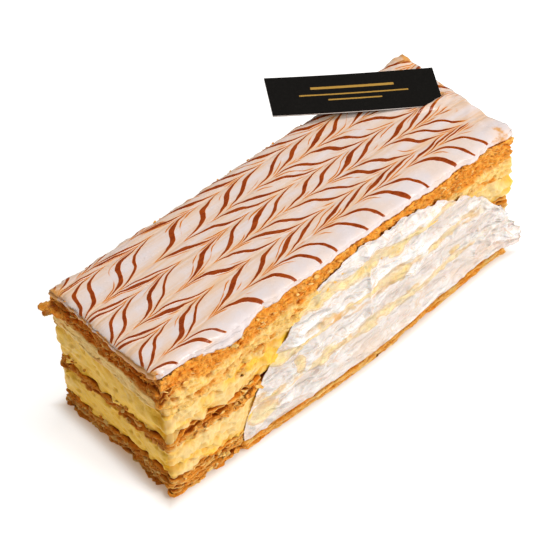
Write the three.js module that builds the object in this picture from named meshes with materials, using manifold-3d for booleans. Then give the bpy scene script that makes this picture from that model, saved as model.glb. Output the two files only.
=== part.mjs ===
// Iced custard slice: three flaky pastry layers with two layers of custard cream between them,
// feathered icing on top, a strip of baking paper on the front side and a plain card on the icing.
// Millimetres. +X runs along the slice, -Y is the front side, +Z is up.
// The origin is the middle of the flat base.
import * as THREE from "three";
import { mergeVertices } from "three/addons/utils/BufferGeometryUtils.js";
import Module from "manifold-3d";

const wasm = await Module();
wasm.setup();

// Slice
const LENGTH = 126;
const WIDTH = 43;
const HALF_LENGTH = LENGTH / 2;
const HALF_WIDTH = WIDTH / 2;
const GAP = 0.3; // clearance between neighbouring pieces

// Heights at which one layer meets the next
const BOTTOM_PASTRY_TOP = 7.4;
const LOWER_CREAM_TOP = 17.8;
const MIDDLE_PASTRY_TOP = 22.9;
const UPPER_CREAM_TOP = 32.8;
const TOP_PASTRY_TOP = 46.2;
const ICING_TOP = 48;
const NEAR_END_RISE = 1.9; // the bottom pastry is thicker at its near end
const NEAR_END_FADE = 14;

// Sides
const FOOT_SPREAD = 2.5; // how far the foot of the front side bows out at its middle
const PASTRY_RAGGEDNESS = 0.55;
const TOP_PASTRY_RAGGEDNESS = 0.35;
const CREAM_BULGE = 0.9;
const CREAM_UNEVENNESS = 0.45;
const LAYER_INSET = 0.8; // room left for the raggedness inside the slice's length and width
const CORNER_ROUNDING = 0.7;
const FLAKE_REACH = 3.4; // a loose flake at the back corner of the near end
const FLAKE_WIDTH = 5;

// Icing
const ICING_LIP = 0.6; // how far it stands over the pastry
const ICING_EDGE_ROUNDING = 0.8;
const ICING_LUMPS = 0.12;
const ICING_SCALLOP = 0.55;
const DRIP_DEPTH = 3.1;
const DRIP_X = -37;
const DRIP_WIDTH = 5.5;
const LIP_BAND = 0.3; // width of the row of faces under the lip
const TOP_PASTRY_SETBACK = 0.35; // it leaves room for the lip and the drip

// Paper strip
const PAPER_THICKNESS = 0.35;
const PAPER_START_X = -38;
const PAPER_END_X = 69.4;
const PAPER_PEAK_X = 8;
const PAPER_PEAK_Z = 43.2;
const PAPER_FOOT_Z = 2.4;
const PAPER_TIP_HEIGHT = 2.6;
const PAPER_CREASE = 0.45;
const PAPER_CLEARANCE = 1.3;
const PAPER_CURL = 2.2; // how far its free end turns away from the slice

// Card
const CARD_LENGTH = 47.8;
const CARD_WIDTH = 15;
const CARD_THICKNESS = 0.6;
const CARD_CENTRE = new THREE.Vector3(41.4, 18.0, 50.1);
const CARD_YAW = THREE.MathUtils.degToRad(-32.9);
const CARD_PITCH = THREE.MathUtils.degToRad(5.4);
const CARD_ROLL = THREE.MathUtils.degToRad(1.2);
const CARD_BOW = 0.35;

// Faces along the length, the width and the height of a layer
const LAYER_STEPS = [25, 8, 3];
const ICING_STEPS = [34, 10, 2];
const PAPER_STEPS = [44, 1, 8];
const CARD_STEPS = [12, 3, 1];

// A smooth uneven value from about -1 to 1
function uneven(t, seed) {
  const slow = Math.sin(0.61 * t + 2.3 * seed);
  const quick = Math.sin(1.73 * t + 4.1 * seed + 0.8);
  const quickest = Math.sin(3.37 * t + 1.7 * seed + 2.9);
  return 0.45 * slow + 0.33 * quick + 0.22 * quickest;
}

// A bump of height 1 at the centre that fades out over the width on each side
function bump(t, centre, width) {
  const s = (t - centre) / width;
  return Math.exp(-s * s);
}

// The gentle wave of one joint between two layers
function joint(height, sway, seed) {
  return (x, y) => {
    const along = Math.sin(x / 8.7 + seed);
    const across = Math.cos(y / 6.1 - 1.3 * seed);
    const ripple = Math.sin(x / 4.9 - y / 9.3 + 2.1 * seed);
    return height + sway * (0.6 * along * across + 0.4 * ripple);
  };
}

// How far the front side bows out at a place along its foot and a height
function footSpread(x, z) {
  const along = Math.cos((Math.PI * x) / LENGTH);
  const up = Math.max(0, 1 - z / PAPER_PEAK_Z);
  return FOOT_SPREAD * along * along * up;
}

// A closed block of shared vertices, each corner from -1 to 1, shaped by a function of its place
function shapedBlock(steps, place) {
  const block = new THREE.BoxGeometry(2, 2, 2, ...steps);
  block.deleteAttribute("normal");
  block.deleteAttribute("uv");
  const merged = mergeVertices(block, 1e-4);
  const position = merged.getAttribute("position");
  const at = new THREE.Vector3();
  for (let i = 0; i < position.count; i++) {
    at.fromBufferAttribute(position, i);
    place(at);
    position.setXYZ(i, at.x, at.y, at.z);
  }
  return merged;
}

// One layer between two joints. overhang gives how far its side stands out from the inset outline,
// from the place along the side, the height within the layer from 0 to 1, and the side.
function layer(floor, ceiling, overhang) {
  const inner = [HALF_LENGTH - LAYER_INSET, HALF_WIDTH - LAYER_INSET];
  return shapedBlock(LAYER_STEPS, (at) => {
    const onEnd = Math.abs(at.x) > 0.999;
    const onSide = Math.abs(at.y) > 0.999;
    const height = (at.z + 1) / 2;
    let x = at.x * inner[0];
    let y = at.y * inner[1];
    const low = floor(x, y);
    const z = low + height * (ceiling(x, y) - low);
    const cut = onEnd && onSide ? CORNER_ROUNDING : 0;
    if (onEnd) x += Math.sign(at.x) * (overhang(y, height, at.x < 0 ? "near" : "far") - cut);
    if (onSide) y += Math.sign(at.y) * (overhang(x, height, at.y < 0 ? "front" : "back") - cut);
    if (onSide && at.y < 0) y -= footSpread(x, z);
    at.set(x, y, z);
  });
}

function pastryEdge(seed, raggedness = PASTRY_RAGGEDNESS) {
  return (along, height, side) => {
    return raggedness * uneven(1.9 * along + 5 * height, seed + side.length);
  };
}

function creamEdge(seed) {
  return (along, height, side) => {
    const bulge = CREAM_BULGE * (1 - (2 * height - 1) ** 2);
    return bulge - 0.3 + CREAM_UNEVENNESS * uneven(0.45 * along, seed + side.length);
  };
}

// The loose flake that the top pastry sticks out at the back corner of its near end
function cornerFlake(along, height, side) {
  if (side !== "near") return 0;
  return FLAKE_REACH * bump(along, HALF_WIDTH - LAYER_INSET, FLAKE_WIDTH) * bump(height, 0.67, 0.2);
}

function topPastryEdge(along, height, side) {
  const ragged = pastryEdge(5, TOP_PASTRY_RAGGEDNESS)(along, height, side);
  return ragged + cornerFlake(along, height, side) - TOP_PASTRY_SETBACK;
}

const bottomPastryTop = (x, y) => {
  const rise = NEAR_END_RISE * Math.exp(-(x + HALF_LENGTH) / NEAR_END_FADE);
  return joint(BOTTOM_PASTRY_TOP, 0.6, 0.4)(x, y) + rise;
};
const lowerCreamTop = joint(LOWER_CREAM_TOP, 0.5, 1.9);
const middlePastryTop = joint(MIDDLE_PASTRY_TOP, 0.55, 3.1);
const upperCreamTop = joint(UPPER_CREAM_TOP, 0.5, 4.6);
const topPastryTop = joint(TOP_PASTRY_TOP, 0.2, 5.2);
const above = (surface) => (x, y) => surface(x, y) + GAP / 2;
const below = (surface) => (x, y) => surface(x, y) - GAP / 2;
const base = () => 0;

// How far the lower edge of the icing hangs down the side
function lipDrop(along, side) {
  const scallop = ICING_SCALLOP * (0.5 + 0.5 * uneven(0.5 * along, side.length));
  const drip = side === "front" ? DRIP_DEPTH * bump(along, DRIP_X, DRIP_WIDTH) : 0;
  return scallop + drip;
}

// A place from -1 to 1 moved to an edge, the narrow band beside it, or evenly between the bands
function banded(t, half, stepCount) {
  const fromEdge = (1 - Math.abs(t)) * (stepCount / 2);
  if (fromEdge < 0.01) return Math.sign(t) * half;
  const inner = half - LIP_BAND;
  return (t / (1 - 2 / stepCount)) * inner;
}

function icingBlock() {
  const halves = [HALF_LENGTH - LAYER_INSET + ICING_LIP, HALF_WIDTH - LAYER_INSET + ICING_LIP];
  return shapedBlock(ICING_STEPS, (at) => {
    const onEnd = Math.abs(at.x) > 0.999;
    const onSide = Math.abs(at.y) > 0.999;
    let x = banded(at.x, halves[0], ICING_STEPS[0]);
    let y = banded(at.y, halves[1], ICING_STEPS[1]);
    const low = above(topPastryTop)(x, y);
    const high = ICING_TOP + ICING_LUMPS * uneven(0.31 * x, 0.4 * y);
    let z = low + ((at.z + 1) / 2) * (high - low);
    const onTop = at.z > 0.999;
    const inward = onTop ? ICING_EDGE_ROUNDING : 0;
    const cut = onEnd && onSide ? CORNER_ROUNDING : 0;
    if (onEnd) x -= Math.sign(at.x) * (inward + cut);
    if (onSide) y -= Math.sign(at.y) * (inward + cut);
    if ((onEnd || onSide) && at.z < -0.999) {
      const side = onSide ? (at.y < 0 ? "front" : "back") : at.x < 0 ? "near" : "far";
      z -= lipDrop(onSide ? x : y, side);
    }
    at.set(x, y, z);
  });
}

// The upper outline of the paper: it climbs steeply, rounds over and falls to its free end
function paperTop(x) {
  const rising = x < PAPER_PEAK_X;
  const reach = rising ? PAPER_PEAK_X - PAPER_START_X : PAPER_END_X - PAPER_PEAK_X;
  const s = Math.min(1, Math.abs(x - PAPER_PEAK_X) / reach);
  const crown = rising ? (1 - s ** 2.1) ** 0.8 : (1 - s ** 3) ** 0.9;
  return PAPER_FOOT_Z + PAPER_TIP_HEIGHT + (PAPER_PEAK_Z - PAPER_FOOT_Z - PAPER_TIP_HEIGHT) * crown;
}

function paperBlock() {
  const middle = (PAPER_START_X + PAPER_END_X) / 2;
  const half = (PAPER_END_X - PAPER_START_X) / 2;
  return shapedBlock(PAPER_STEPS, (at) => {
    const x = middle + half * Math.sin((at.x * Math.PI) / 2);
    const z = PAPER_FOOT_Z + ((at.z + 1) / 2) * (paperTop(x) - PAPER_FOOT_Z);
    const crease = PAPER_CREASE * uneven(0.33 * (x - 1.2 * z), 0.9);
    const past = Math.max(0, x - HALF_LENGTH + 8) / (PAPER_END_X - HALF_LENGTH + 8);
    const curl = PAPER_CURL * past * past;
    const face = -HALF_WIDTH - footSpread(x, z) - PAPER_CLEARANCE;
    at.set(x, face + crease - curl + (at.y * PAPER_THICKNESS) / 2, z);
  });
}

// A card whose ends bow up a little from its middle
function cardBlock(margin) {
  return shapedBlock(CARD_STEPS, (at) => {
    const x = at.x * (CARD_LENGTH / 2 + margin);
    const y = at.y * (CARD_WIDTH / 2 + margin);
    const bow = CARD_BOW * (at.x * at.x - 0.5);
    at.set(x, y, bow + at.z * (CARD_THICKNESS / 2 + margin));
  });
}

function placeCard(mesh) {
  mesh.rotation.set(CARD_ROLL, CARD_PITCH, CARD_YAW, "ZYX");
  mesh.position.copy(CARD_CENTRE);
  return mesh;
}

function toSolid(geometry) {
  return new wasm.Manifold(
    new wasm.Mesh({
      numProp: 3,
      vertProperties: geometry.getAttribute("position").array,
      triVerts: new Uint32Array(geometry.index.array),
    }),
  );
}

function toGeometry(solid) {
  const mesh = solid.getMesh();
  const geometry = new THREE.BufferGeometry();
  geometry.setAttribute("position", new THREE.BufferAttribute(mesh.vertProperties, 3));
  geometry.setIndex(new THREE.BufferAttribute(mesh.triVerts, 1));
  return geometry;
}

// The icing has a shallow bed where the card has sunk into it
function icingWithBed() {
  const room = placeCard(new THREE.Mesh(cardBlock(GAP)));
  room.updateMatrixWorld(true);
  const roomShape = room.geometry.applyMatrix4(room.matrixWorld);
  return toGeometry(toSolid(icingBlock()).subtract(toSolid(roomShape)));
}

function piece(name, geometry, color, roughness) {
  geometry.computeVertexNormals();
  const material = new THREE.MeshStandardMaterial({ color, roughness, metalness: 0 });
  const mesh = new THREE.Mesh(geometry, material);
  mesh.name = name;
  return mesh;
}

const slice = new THREE.Group();
slice.add(
  piece("pastry_bottom", layer(base, below(bottomPastryTop), pastryEdge(1)), 0xc98a3c, 0.75),
  piece(
    "cream_lower",
    layer(above(bottomPastryTop), below(lowerCreamTop), creamEdge(2)),
    0xf2d070,
    0.45,
  ),
  piece(
    "pastry_middle",
    layer(above(lowerCreamTop), below(middlePastryTop), pastryEdge(3)),
    0xc07c30,
    0.75,
  ),
  piece(
    "cream_upper",
    layer(above(middlePastryTop), below(upperCreamTop), creamEdge(4)),
    0xf6da86,
    0.45,
  ),
  piece(
    "pastry_top",
    layer(above(upperCreamTop), below(topPastryTop), topPastryEdge),
    0xcf8a3a,
    0.75,
  ),
  piece("icing", icingWithBed(), 0xe9e0e0, 0.2),
  piece("paper_strip", paperBlock(), 0xf3ece8, 0.6),
  placeCard(piece("label_card", cardBlock(0), 0x15130f, 0.45)),
);

export default slice;
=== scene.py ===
"""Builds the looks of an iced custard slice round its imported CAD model.

Flaky pastry, custard cream, feathered icing, a strip of baking paper and a plain card, on a pale stage.
Lengths are in millimetres here, and each mesh is scaled to metres as it is finished.
"""

import itertools
import math

import bmesh
import bpy
import numpy as np
from mathutils import Matrix, Vector


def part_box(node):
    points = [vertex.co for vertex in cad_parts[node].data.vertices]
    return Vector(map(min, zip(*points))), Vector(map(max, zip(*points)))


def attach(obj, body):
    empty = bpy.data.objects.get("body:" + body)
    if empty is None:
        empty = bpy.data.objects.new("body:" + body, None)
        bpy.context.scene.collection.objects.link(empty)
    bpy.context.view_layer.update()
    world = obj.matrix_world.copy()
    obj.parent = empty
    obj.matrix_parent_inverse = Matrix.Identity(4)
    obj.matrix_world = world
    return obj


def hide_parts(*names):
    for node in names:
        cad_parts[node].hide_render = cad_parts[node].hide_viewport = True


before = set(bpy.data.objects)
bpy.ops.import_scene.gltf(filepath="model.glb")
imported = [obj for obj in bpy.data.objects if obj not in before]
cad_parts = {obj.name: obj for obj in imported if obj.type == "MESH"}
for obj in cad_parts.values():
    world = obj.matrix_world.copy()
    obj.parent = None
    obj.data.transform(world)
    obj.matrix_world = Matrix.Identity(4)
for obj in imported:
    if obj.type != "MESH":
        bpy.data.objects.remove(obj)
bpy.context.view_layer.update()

bl_info = {
    "name": "Iced custard slice",
    "version": (1, 0, 0),
    "blender": (4, 5, 0),
    "location": "3D View > Sidebar > Slice",
    "description": "Builds a layered pastry slice with feathered icing, baking paper and a card",
    "category": "Object",
}

MM = 0.001
BODY = "root"


# ---------------------------------------------------------------- sizes from the frame


def node_box(name):
    """Lowest and highest corner of a CAD node, in millimetres."""
    low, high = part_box(name)
    return np.array(low) / MM, np.array(high) / MM


def meeting(lower, upper):
    """Mean height at which two neighbouring nodes meet."""
    return (node_box(lower)[1][2] + node_box(upper)[0][2]) / 2


ICING_LOW, ICING_HIGH = node_box("icing")
PAPER_LOW, PAPER_HIGH = node_box("paper_strip")
CARD_LOW, CARD_HIGH = node_box("label_card")
HALF_LENGTH = ICING_HIGH[0]
HALF_WIDTH = ICING_HIGH[1]
NEAR_X = -HALF_LENGTH
FRONT_Y = -HALF_WIDTH
ICING_TOP = 48.0
CORNER_RADIUS = 0.8
CRUST_THICKNESS = 6.6
# how far the front side bows out in its middle, and the lower layers spill at the near end
FRONT_BOW = 2.6
NEAR_SPILL_FRONT = 1.5
NEAR_SPILL_BACK = 2.3
FLAKE_THICKNESS = 0.14
PAPER_THICKNESS = 0.09
JOINT_HEIGHTS = {
    "bottom": 7.4,
    "lower": meeting("cream_lower", "pastry_middle"),
    "middle": meeting("pastry_middle", "cream_upper"),
    "upper": meeting("cream_upper", "pastry_top"),
    "top": meeting("pastry_top", "icing"),
}


# ---------------------------------------------------------------- settings in the sidebar


def length_property(name, description, default, high, low=0.0):
    return bpy.props.FloatProperty(
        name=name, description=description + ", in mm", default=default, min=low, max=high
    )


class SliceShape(bpy.types.PropertyGroup):
    """Sizes that a user would change."""

    leaf_reach: length_property("Leaf reach", "How far the edges of the pastry leaves stand out", 0.75, 2.0)
    gap_depth: length_property("Gap depth", "How deep the gaps between the pastry leaves are", 1.7, 4.0)
    cream_bulge: length_property("Cream bulge", "How far the cream swells between the layers", 0.8, 2.0)
    drip_depth: length_property("Icing drip", "How far the icing runs down the front side", 3.4, 6.0)
    paper_crease: length_property("Paper crease", "Height of the creases in the paper", 0.95, 2.0)
    seed: bpy.props.IntProperty(
        name="Seed", description="Changes every random draw", default=7, min=0,
    )


class SliceFeather(bpy.types.PropertyGroup):
    """The pattern that is dragged through the icing."""

    drag: length_property("Drag", "How far each stroke pulls the piped lines along", 10.0, 20.0)
    fade: length_property("Fade", "Distance from a stroke over which its pull dies away", 1.08, 4.0, 0.2)
    line_width: length_property(
        "Line width", "Width of a thick piped line before it is dragged", 1.5, 4.0, 0.2
    )


def colour_property(name, description, default):
    return bpy.props.FloatVectorProperty(
        name=name, description=description, default=default, subtype="COLOR", size=3, min=0.0, max=1.0
    )


class SliceColours(bpy.types.PropertyGroup):
    """Colours that a user would change."""

    icing: colour_property("Icing", "Plain fondant", (0.735, 0.655, 0.655))
    feather: colour_property("Feather", "Piped lines", (0.22, 0.026, 0.0005))
    crust: colour_property("Crust", "Well baked pastry", (0.76, 0.26, 0.018))
    dough: colour_property("Dough", "Pale inside of the pastry", (0.82, 0.49, 0.11))
    cream: colour_property("Cream", "Custard cream", (0.92, 0.54, 0.035))
    paper: colour_property("Paper", "Baking paper", (0.83, 0.765, 0.735))
    card: colour_property("Card", "Face of the card", (0.005, 0.0045, 0.004))
    gilt: colour_property("Gilt", "Printed rules on the card", (0.42, 0.24, 0.05))


# ---------------------------------------------------------------- uneven values


# large odd numbers that scramble a place and a seed, and masks of 32 and 24 bits
SCRAMBLE = (374761393, 668265263, 1103515245)
SCRAMBLE_SEED = 144665
SCRAMBLE_AGAIN = 1274126177
WORD = 0xFFFFFFFF
FRACTION = 0xFFFFFF


def lattice(cell, seed):
    """Repeatable random values from 0 to 1 at whole-numbered places, one row each."""
    mixed = seed * SCRAMBLE_SEED
    for axis, factor in enumerate(SCRAMBLE):
        mixed = mixed + cell[:, axis] * factor
    mixed = (mixed & WORD) ^ ((mixed & WORD) >> 13)
    mixed = (mixed * SCRAMBLE_AGAIN) & WORD
    return ((mixed ^ (mixed >> 16)) & FRACTION) / FRACTION


def uneven(places, size, seed=0):
    """Smooth values from -1 to 1 that change over about the given size, one number or three."""
    grid = places / np.asarray(size, float)
    cell = np.floor(grid).astype(np.int64)
    part = grid - cell
    part = part * part * (3 - 2 * part)
    total = np.zeros(len(places))
    for corner in itertools.product((0, 1), repeat=3):
        weight = np.prod(np.where(np.array(corner) == 1, part, 1 - part), axis=1)
        total += weight * lattice(cell + np.array(corner), seed)
    return total * 2 - 1


def cells(places, size, seed=0, order=2):
    """Distance to the nearest of scattered points, as a share of the size, from 0 to about 1.
    Order 1 gives flat facets."""
    grid = places / np.asarray(size, float)
    cell = np.floor(grid).astype(np.int64)
    nearest = np.full(len(places), 9.0)
    for step in itertools.product((-1, 0, 1), repeat=3):
        there = cell + np.array(step)
        point = there + np.stack([lattice(there, seed + k) for k in range(3)], axis=1)
        nearest = np.minimum(nearest, np.linalg.norm(grid - point, ord=order, axis=1))
    return nearest


def smooth(low, high, value):
    """0 below low, 1 above high, and a soft turn between them."""
    share = np.clip((value - low) / (high - low), 0, 1)
    return share * share * (3 - 2 * share)


def bump(value, centre, width):
    """A soft hill of height 1."""
    return np.exp(-(((value - centre) / width) ** 2))


def beside(places, **parts):
    """A copy of the places with some coordinates changed, to draw other random values."""
    changed = places.copy()
    for axis, value in parts.items():
        changed[:, "xyz".index(axis)] = value
    return changed


# ---------------------------------------------------------------- meshes


def corners_of(mesh):
    flat = np.empty(len(mesh.vertices) * 3)
    mesh.vertices.foreach_get("co", flat)
    return flat.reshape(-1, 3)


def set_corners(mesh, places):
    mesh.vertices.foreach_set("co", np.ascontiguousarray(places, dtype=np.float32).ravel())
    mesh.update()


def paint(mesh, name, values):
    """Stores one number for each corner, for the material to read."""
    layer = mesh.attributes.new(name, "FLOAT", "POINT")
    layer.data.foreach_set("value", np.ascontiguousarray(values, dtype=np.float32))


def grid_mesh(name, columns, rows, strips=1):
    """A flat grid whose corners run from 0 to 1 both ways, cut across into separate strips if asked."""
    total = strips * (rows + 1) - 1
    bm = bmesh.new()
    bmesh.ops.create_grid(bm, x_segments=columns, y_segments=total, size=0.5)
    bmesh.ops.translate(bm, verts=bm.verts, vec=(0.5, 0.5, 0))
    if strips > 1:
        between = [f for f in bm.faces if int(f.calc_center_median().y * total) % (rows + 1) == rows]
        bmesh.ops.delete(bm, geom=between, context="FACES")
    mesh = bpy.data.meshes.new(name)
    bm.to_mesh(mesh)
    bm.free()
    return mesh


def box_mesh(name, counts):
    """A closed box from -1 to 1 each way, cut into the given number of faces along each side."""
    bm = bmesh.new()
    bmesh.ops.create_cube(bm, size=2)
    for axis, count in enumerate(counts):
        along = [e for e in bm.edges if abs(e.verts[0].co[axis] - e.verts[1].co[axis]) > 1.5]
        if count > 1:
            bmesh.ops.subdivide_edges(bm, edges=along, cuts=count - 1, use_grid_fill=False)
    mesh = bpy.data.meshes.new(name)
    bm.to_mesh(mesh)
    bm.free()
    return mesh


def close_up(mesh, thickness=None):
    """Joins corners that meet, turns the faces outwards and gives an open sheet a thickness."""
    bm = bmesh.new()
    bm.from_mesh(mesh)
    bmesh.ops.remove_doubles(bm, verts=bm.verts, dist=1e-4)
    bmesh.ops.dissolve_degenerate(bm, edges=bm.edges, dist=1e-5)
    bmesh.ops.recalc_face_normals(bm, faces=bm.faces)
    if thickness:
        bmesh.ops.solidify(bm, geom=bm.faces, thickness=thickness)
        bmesh.ops.recalc_face_normals(bm, faces=bm.faces)
    bm.to_mesh(mesh)
    bm.free()


def finish_piece(mesh, material, nodes=(), flat=False):
    """Scales a mesh to metres, makes its object, hangs it on the body and hides the CAD parts it stands
    for.
    """
    mesh.transform(Matrix.Scale(MM, 4))
    if flat:
        mesh.shade_flat()
    else:
        mesh.shade_smooth()
    mesh.materials.append(material)
    piece = bpy.data.objects.new(mesh.name, mesh)
    bpy.context.scene.collection.objects.link(piece)
    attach(piece, BODY)
    if nodes:
        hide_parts(*nodes)
    return piece


def outline(turn, half_length, half_width):
    """Places and outward directions round a rectangle with round corners, turn from 0 to 1."""
    radius = CORNER_RADIUS
    straight = [2 * (half_length - radius), 2 * (half_width - radius)]
    arc = math.pi * radius / 2
    lengths = np.array([straight[0], arc, straight[1], arc] * 2)
    ends = np.cumsum(lengths)
    run = (turn % 1.0) * ends[-1]
    stretch = np.minimum(np.searchsorted(ends, run, side="right"), 7)
    along = run - (ends - lengths)[stretch]
    side = stretch // 2
    turning = stretch % 2 == 1
    angle = (side - 1) * math.pi / 2 + np.where(turning, along / radius, 0)
    normal = np.stack([np.cos(angle), np.sin(angle)], axis=1)
    corner_x = np.array([1, 1, -1, -1])[side] * (half_length - radius)
    corner_y = np.array([-1, 1, 1, -1])[side] * (half_width - radius)
    heading = np.stack([-normal[:, 1], normal[:, 0]], axis=1)
    back = np.where(turning, 0, along - np.array([straight[0], straight[1]] * 2)[side])
    places = np.stack([corner_x, corner_y], axis=1) + radius * normal + heading * back[:, None]
    return places, normal


def joint_surface(name, x, y):
    """Height of the wavy joint between two layers at each place."""
    order = list(JOINT_HEIGHTS).index(name)
    places = np.stack([x, y, np.full_like(x, 31.0 * order)], axis=1)
    height = JOINT_HEIGHTS[name] + 0.55 * uneven(places, (16, 16, 5)) + 0.4 * uneven(places, (5, 5, 5), 3)
    height = height + 0.22 * uneven(places, (2, 2, 5), 4)
    near = np.exp(-(x - NEAR_X) / 8)
    if name in ("bottom", "lower", "middle"):
        height = height - 1.3 * near
    if name == "bottom":
        height = height + (1.5 - 3.2 * smooth(-6, 8, y)) * near
        height = height - 1.1 * smooth(6, 0, y - FRONT_Y) * smooth(0, 30, x - NEAR_X)
    if name in ("lower", "middle"):
        height = height + 1.6 * smooth(-42, -50, x) * smooth(FRONT_Y + 8, FRONT_Y, y)
    if name == "lower":
        height = height - 1.1 * smooth(6, 13, y) * near
    if name == "middle":
        height = height - (0.9 + 1.9 * smooth(-4, 8, y) + 0.5 * smooth(12, 20, y)) * near
    if name == "top":
        rim = np.minimum(HALF_LENGTH - np.abs(x), HALF_WIDTH - np.abs(y))
        lift = 0.65 + 0.15 * near + 0.55 * smooth(FRONT_Y + 4, FRONT_Y, y)
        height = height + np.minimum(lift, 1.5) * np.exp(-np.maximum(rim, 0) / 1.6)
    return height


def joint(name, shift=0.0):
    return lambda x, y: joint_surface(name, x, y) + shift


def under_crust(x, y):
    """The foot of the brown crust, which is thicker at the near end."""
    return joint_surface("top", x, y) - CRUST_THICKNESS - 2.0 * smooth(NEAR_X + 3, NEAR_X, x)


def sloping(height):
    """A surface that climbs along the front, for the torn ledge in the upper cream."""
    return lambda x, y: height + 0.3 * np.clip(x - NEAR_X - 25, 0, 14)


def flat_base(x, y):
    return np.zeros_like(x)


def foot_spread(x, z):
    """How far the front side bows out towards its foot, and stands out near its near end."""
    bow = FRONT_BOW * np.cos(np.pi * x / (2 * HALF_LENGTH)) ** 2 * np.clip(1 - z / 43, 0, 1)
    return bow + NEAR_SPILL_FRONT * smooth(-30, -45, x) * smooth(44, 34, z)


def front_spread(places, normal):
    """How far the front side's outline moves forward there, and nothing on the other sides."""
    return foot_spread(places[:, 0], places[:, 2]) * np.where(normal[:, 1] < 0, normal[:, 1] ** 2, 0)


def back_spread(places):
    """How far the layers below the icing spill backwards at the near end."""
    x, y, z = places.T
    return NEAR_SPILL_BACK * smooth(2, 21, y) * smooth(-30, -52, x) * smooth(46, 42, z)


def under_paper(x, z, margin=0.5):
    """1 where the paper covers the front side, 0 where it is open."""
    return smooth(-0.5, 1.5, paper_top(x) + margin - z) * smooth(PAPER_LOW[0] - 2, PAPER_LOW[0], x)


def ragged_corner(places, seed):
    """Shift inwards that roughens the upright corner between the near end and the front side."""
    away = np.hypot(places[:, 0] - NEAR_X, places[:, 1] - FRONT_Y)
    upright = beside(places, x=0.0, y=0.0)
    missing = 0.6 + 2.8 * uneven(upright, 2.4, seed) + 1.8 * uneven(upright, 0.9, seed + 1)
    missing = np.maximum(missing, -0.6) * smooth(0, 8, places[:, 2])
    return (bump(away, 0, 3.4) * missing)[:, None] * np.array([0.71, 0.71])


def far_reach(places, normal):
    """How far the layers stand out round the far end, and at its front corner above the paper."""
    outwards = np.maximum(normal[:, 0], 0)
    end = 1.1 * outwards + 0.6 * outwards * smooth(0, FRONT_Y, places[:, 1])
    corner = smooth(HALF_LENGTH - 12, HALF_LENGTH - 1, places[:, 0]) * smooth(22, 27, places[:, 2])
    return end + 0.9 * corner * np.maximum(-normal[:, 1], 0)


CAP_SHARES = (0.0, 0.5, 0.8, 0.9, 0.95, 0.97, 0.985)


def wall_layer(name, floor, ceiling, column_step, row_step, relief, inset):
    """A closed layer between two surfaces: its rows run from a pole in the floor, out to the side,
    up the side and back to a pole in the ceiling. relief gives how far the side stands out."""
    half = (HALF_LENGTH - inset, HALF_WIDTH - inset)
    columns = int(4 * (half[0] + half[1]) / column_step)
    zero = np.zeros(1)
    tall = float((ceiling(zero, zero) - floor(zero, zero))[0])
    side_rows = max(4, int(tall / row_step))
    shares = np.array([*CAP_SHARES, *[1.0] * (side_rows + 1), *CAP_SHARES[::-1]])
    cap_rows = len(CAP_SHARES)
    heights = np.array([*[0.0] * cap_rows, *np.linspace(0, 1, side_rows + 1), *[1.0] * cap_rows])
    mesh = grid_mesh(name, columns, len(shares) - 1)
    corners = corners_of(mesh)
    row = np.rint(corners[:, 1] * (len(shares) - 1)).astype(int)
    share = shares[row]
    height = heights[row]
    edge, normal = outline(corners[:, 0], *half)
    low = floor(edge[:, 0], edge[:, 1])
    high = ceiling(edge[:, 0], edge[:, 1])
    on_side = np.stack([edge[:, 0], edge[:, 1], low + height * (high - low)], axis=1)
    out, colours = relief(on_side, normal, height)
    out = out + front_spread(on_side, normal) + far_reach(on_side, normal)
    moved = normal * out[:, None] + ragged_corner(on_side, columns)
    moved[:, 1] += back_spread(on_side)
    flat = edge * share[:, None] + moved * smooth(0.9, 1.0, share)[:, None]
    capped = share < 1
    z = np.where(capped & (height < 0.5), floor(flat[:, 0], flat[:, 1]), on_side[:, 2])
    z = np.where(capped & (height > 0.5), ceiling(flat[:, 0], flat[:, 1]), z)
    pole = share == 0
    z[pole & (height < 0.5)] = floor(zero, zero)[0]
    z[pole & (height > 0.5)] = ceiling(zero, zero)[0]
    set_corners(mesh, np.column_stack([flat, z]))
    for attribute, values in colours.items():
        paint(mesh, attribute, values)
    close_up(mesh)
    return mesh


# ---------------------------------------------------------------- pastry


def leafy_relief(places, height, leaves, shape, seed):
    """Ragged leaf edges with open gaps between them, as distance out and share of depth."""
    def vary(size, step):
        return uneven(places, size, seed + step)

    wander = 0.75 * vary((12, 12, 30), 0) + 0.4 * vary((3.4, 3.4, 2.5), 1)
    level = height * leaves + wander
    leaf = np.floor(level)
    tip = smooth(0.1, 0.62, 1 - np.abs(2 * (level - leaf) - 1))
    own = beside(places, z=leaf * 13.7 + seed)
    reach = 0.6 * uneven(own, 6.0, seed + 2) + 0.4 * uneven(own, 2.1, seed + 3)
    opened = smooth(-0.35, 0.45, uneven(own, (4.5, 4.5, 1), seed + 4))
    crumble = 0.16 * vary(0.9, 5) + 0.12 * vary(0.45, 6)
    out = shape.leaf_reach * reach * tip - shape.gap_depth * opened * (1 - tip) + crumble
    # the open gaps are painted darker through this share of depth: painted shade
    depth = np.clip((1 - tip) * opened, 0, 1)
    return out, depth


def core_relief(seed):
    """The crumbly inside that shows between the leaves, painted dark all over: partly the browner pastry,
    partly painted shade in the gaps.
    """

    def relief(places, normal, height):
        out = 0.5 * uneven(places, 1.6, seed) + 0.35 * uneven(places, 0.7, seed + 1)
        # the fixed depth of 0.75 paints the whole core darker: painted shade in the gaps between the leaves
        return out, {"depth": np.full(len(out), 0.75), "bake": np.full(len(out), 0.6)}

    return relief


# how far in from the tip of a leaf, and which side of its middle, for each row round it
LEAF_PROFILE = np.array([
    (1, -1), (0.45, -1), (0.2, -0.9), (0.05, -0.6), (0, 0),
    (0.05, 0.6), (0.2, 0.9), (0.45, 1), (1, 1), (1, -1),
])
LEAF_COLUMN = 0.36
LEAF_ROOT = 3.2
LEDGE_ROOT = 6.0
LEDGE_HIDDEN = -4.5


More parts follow.
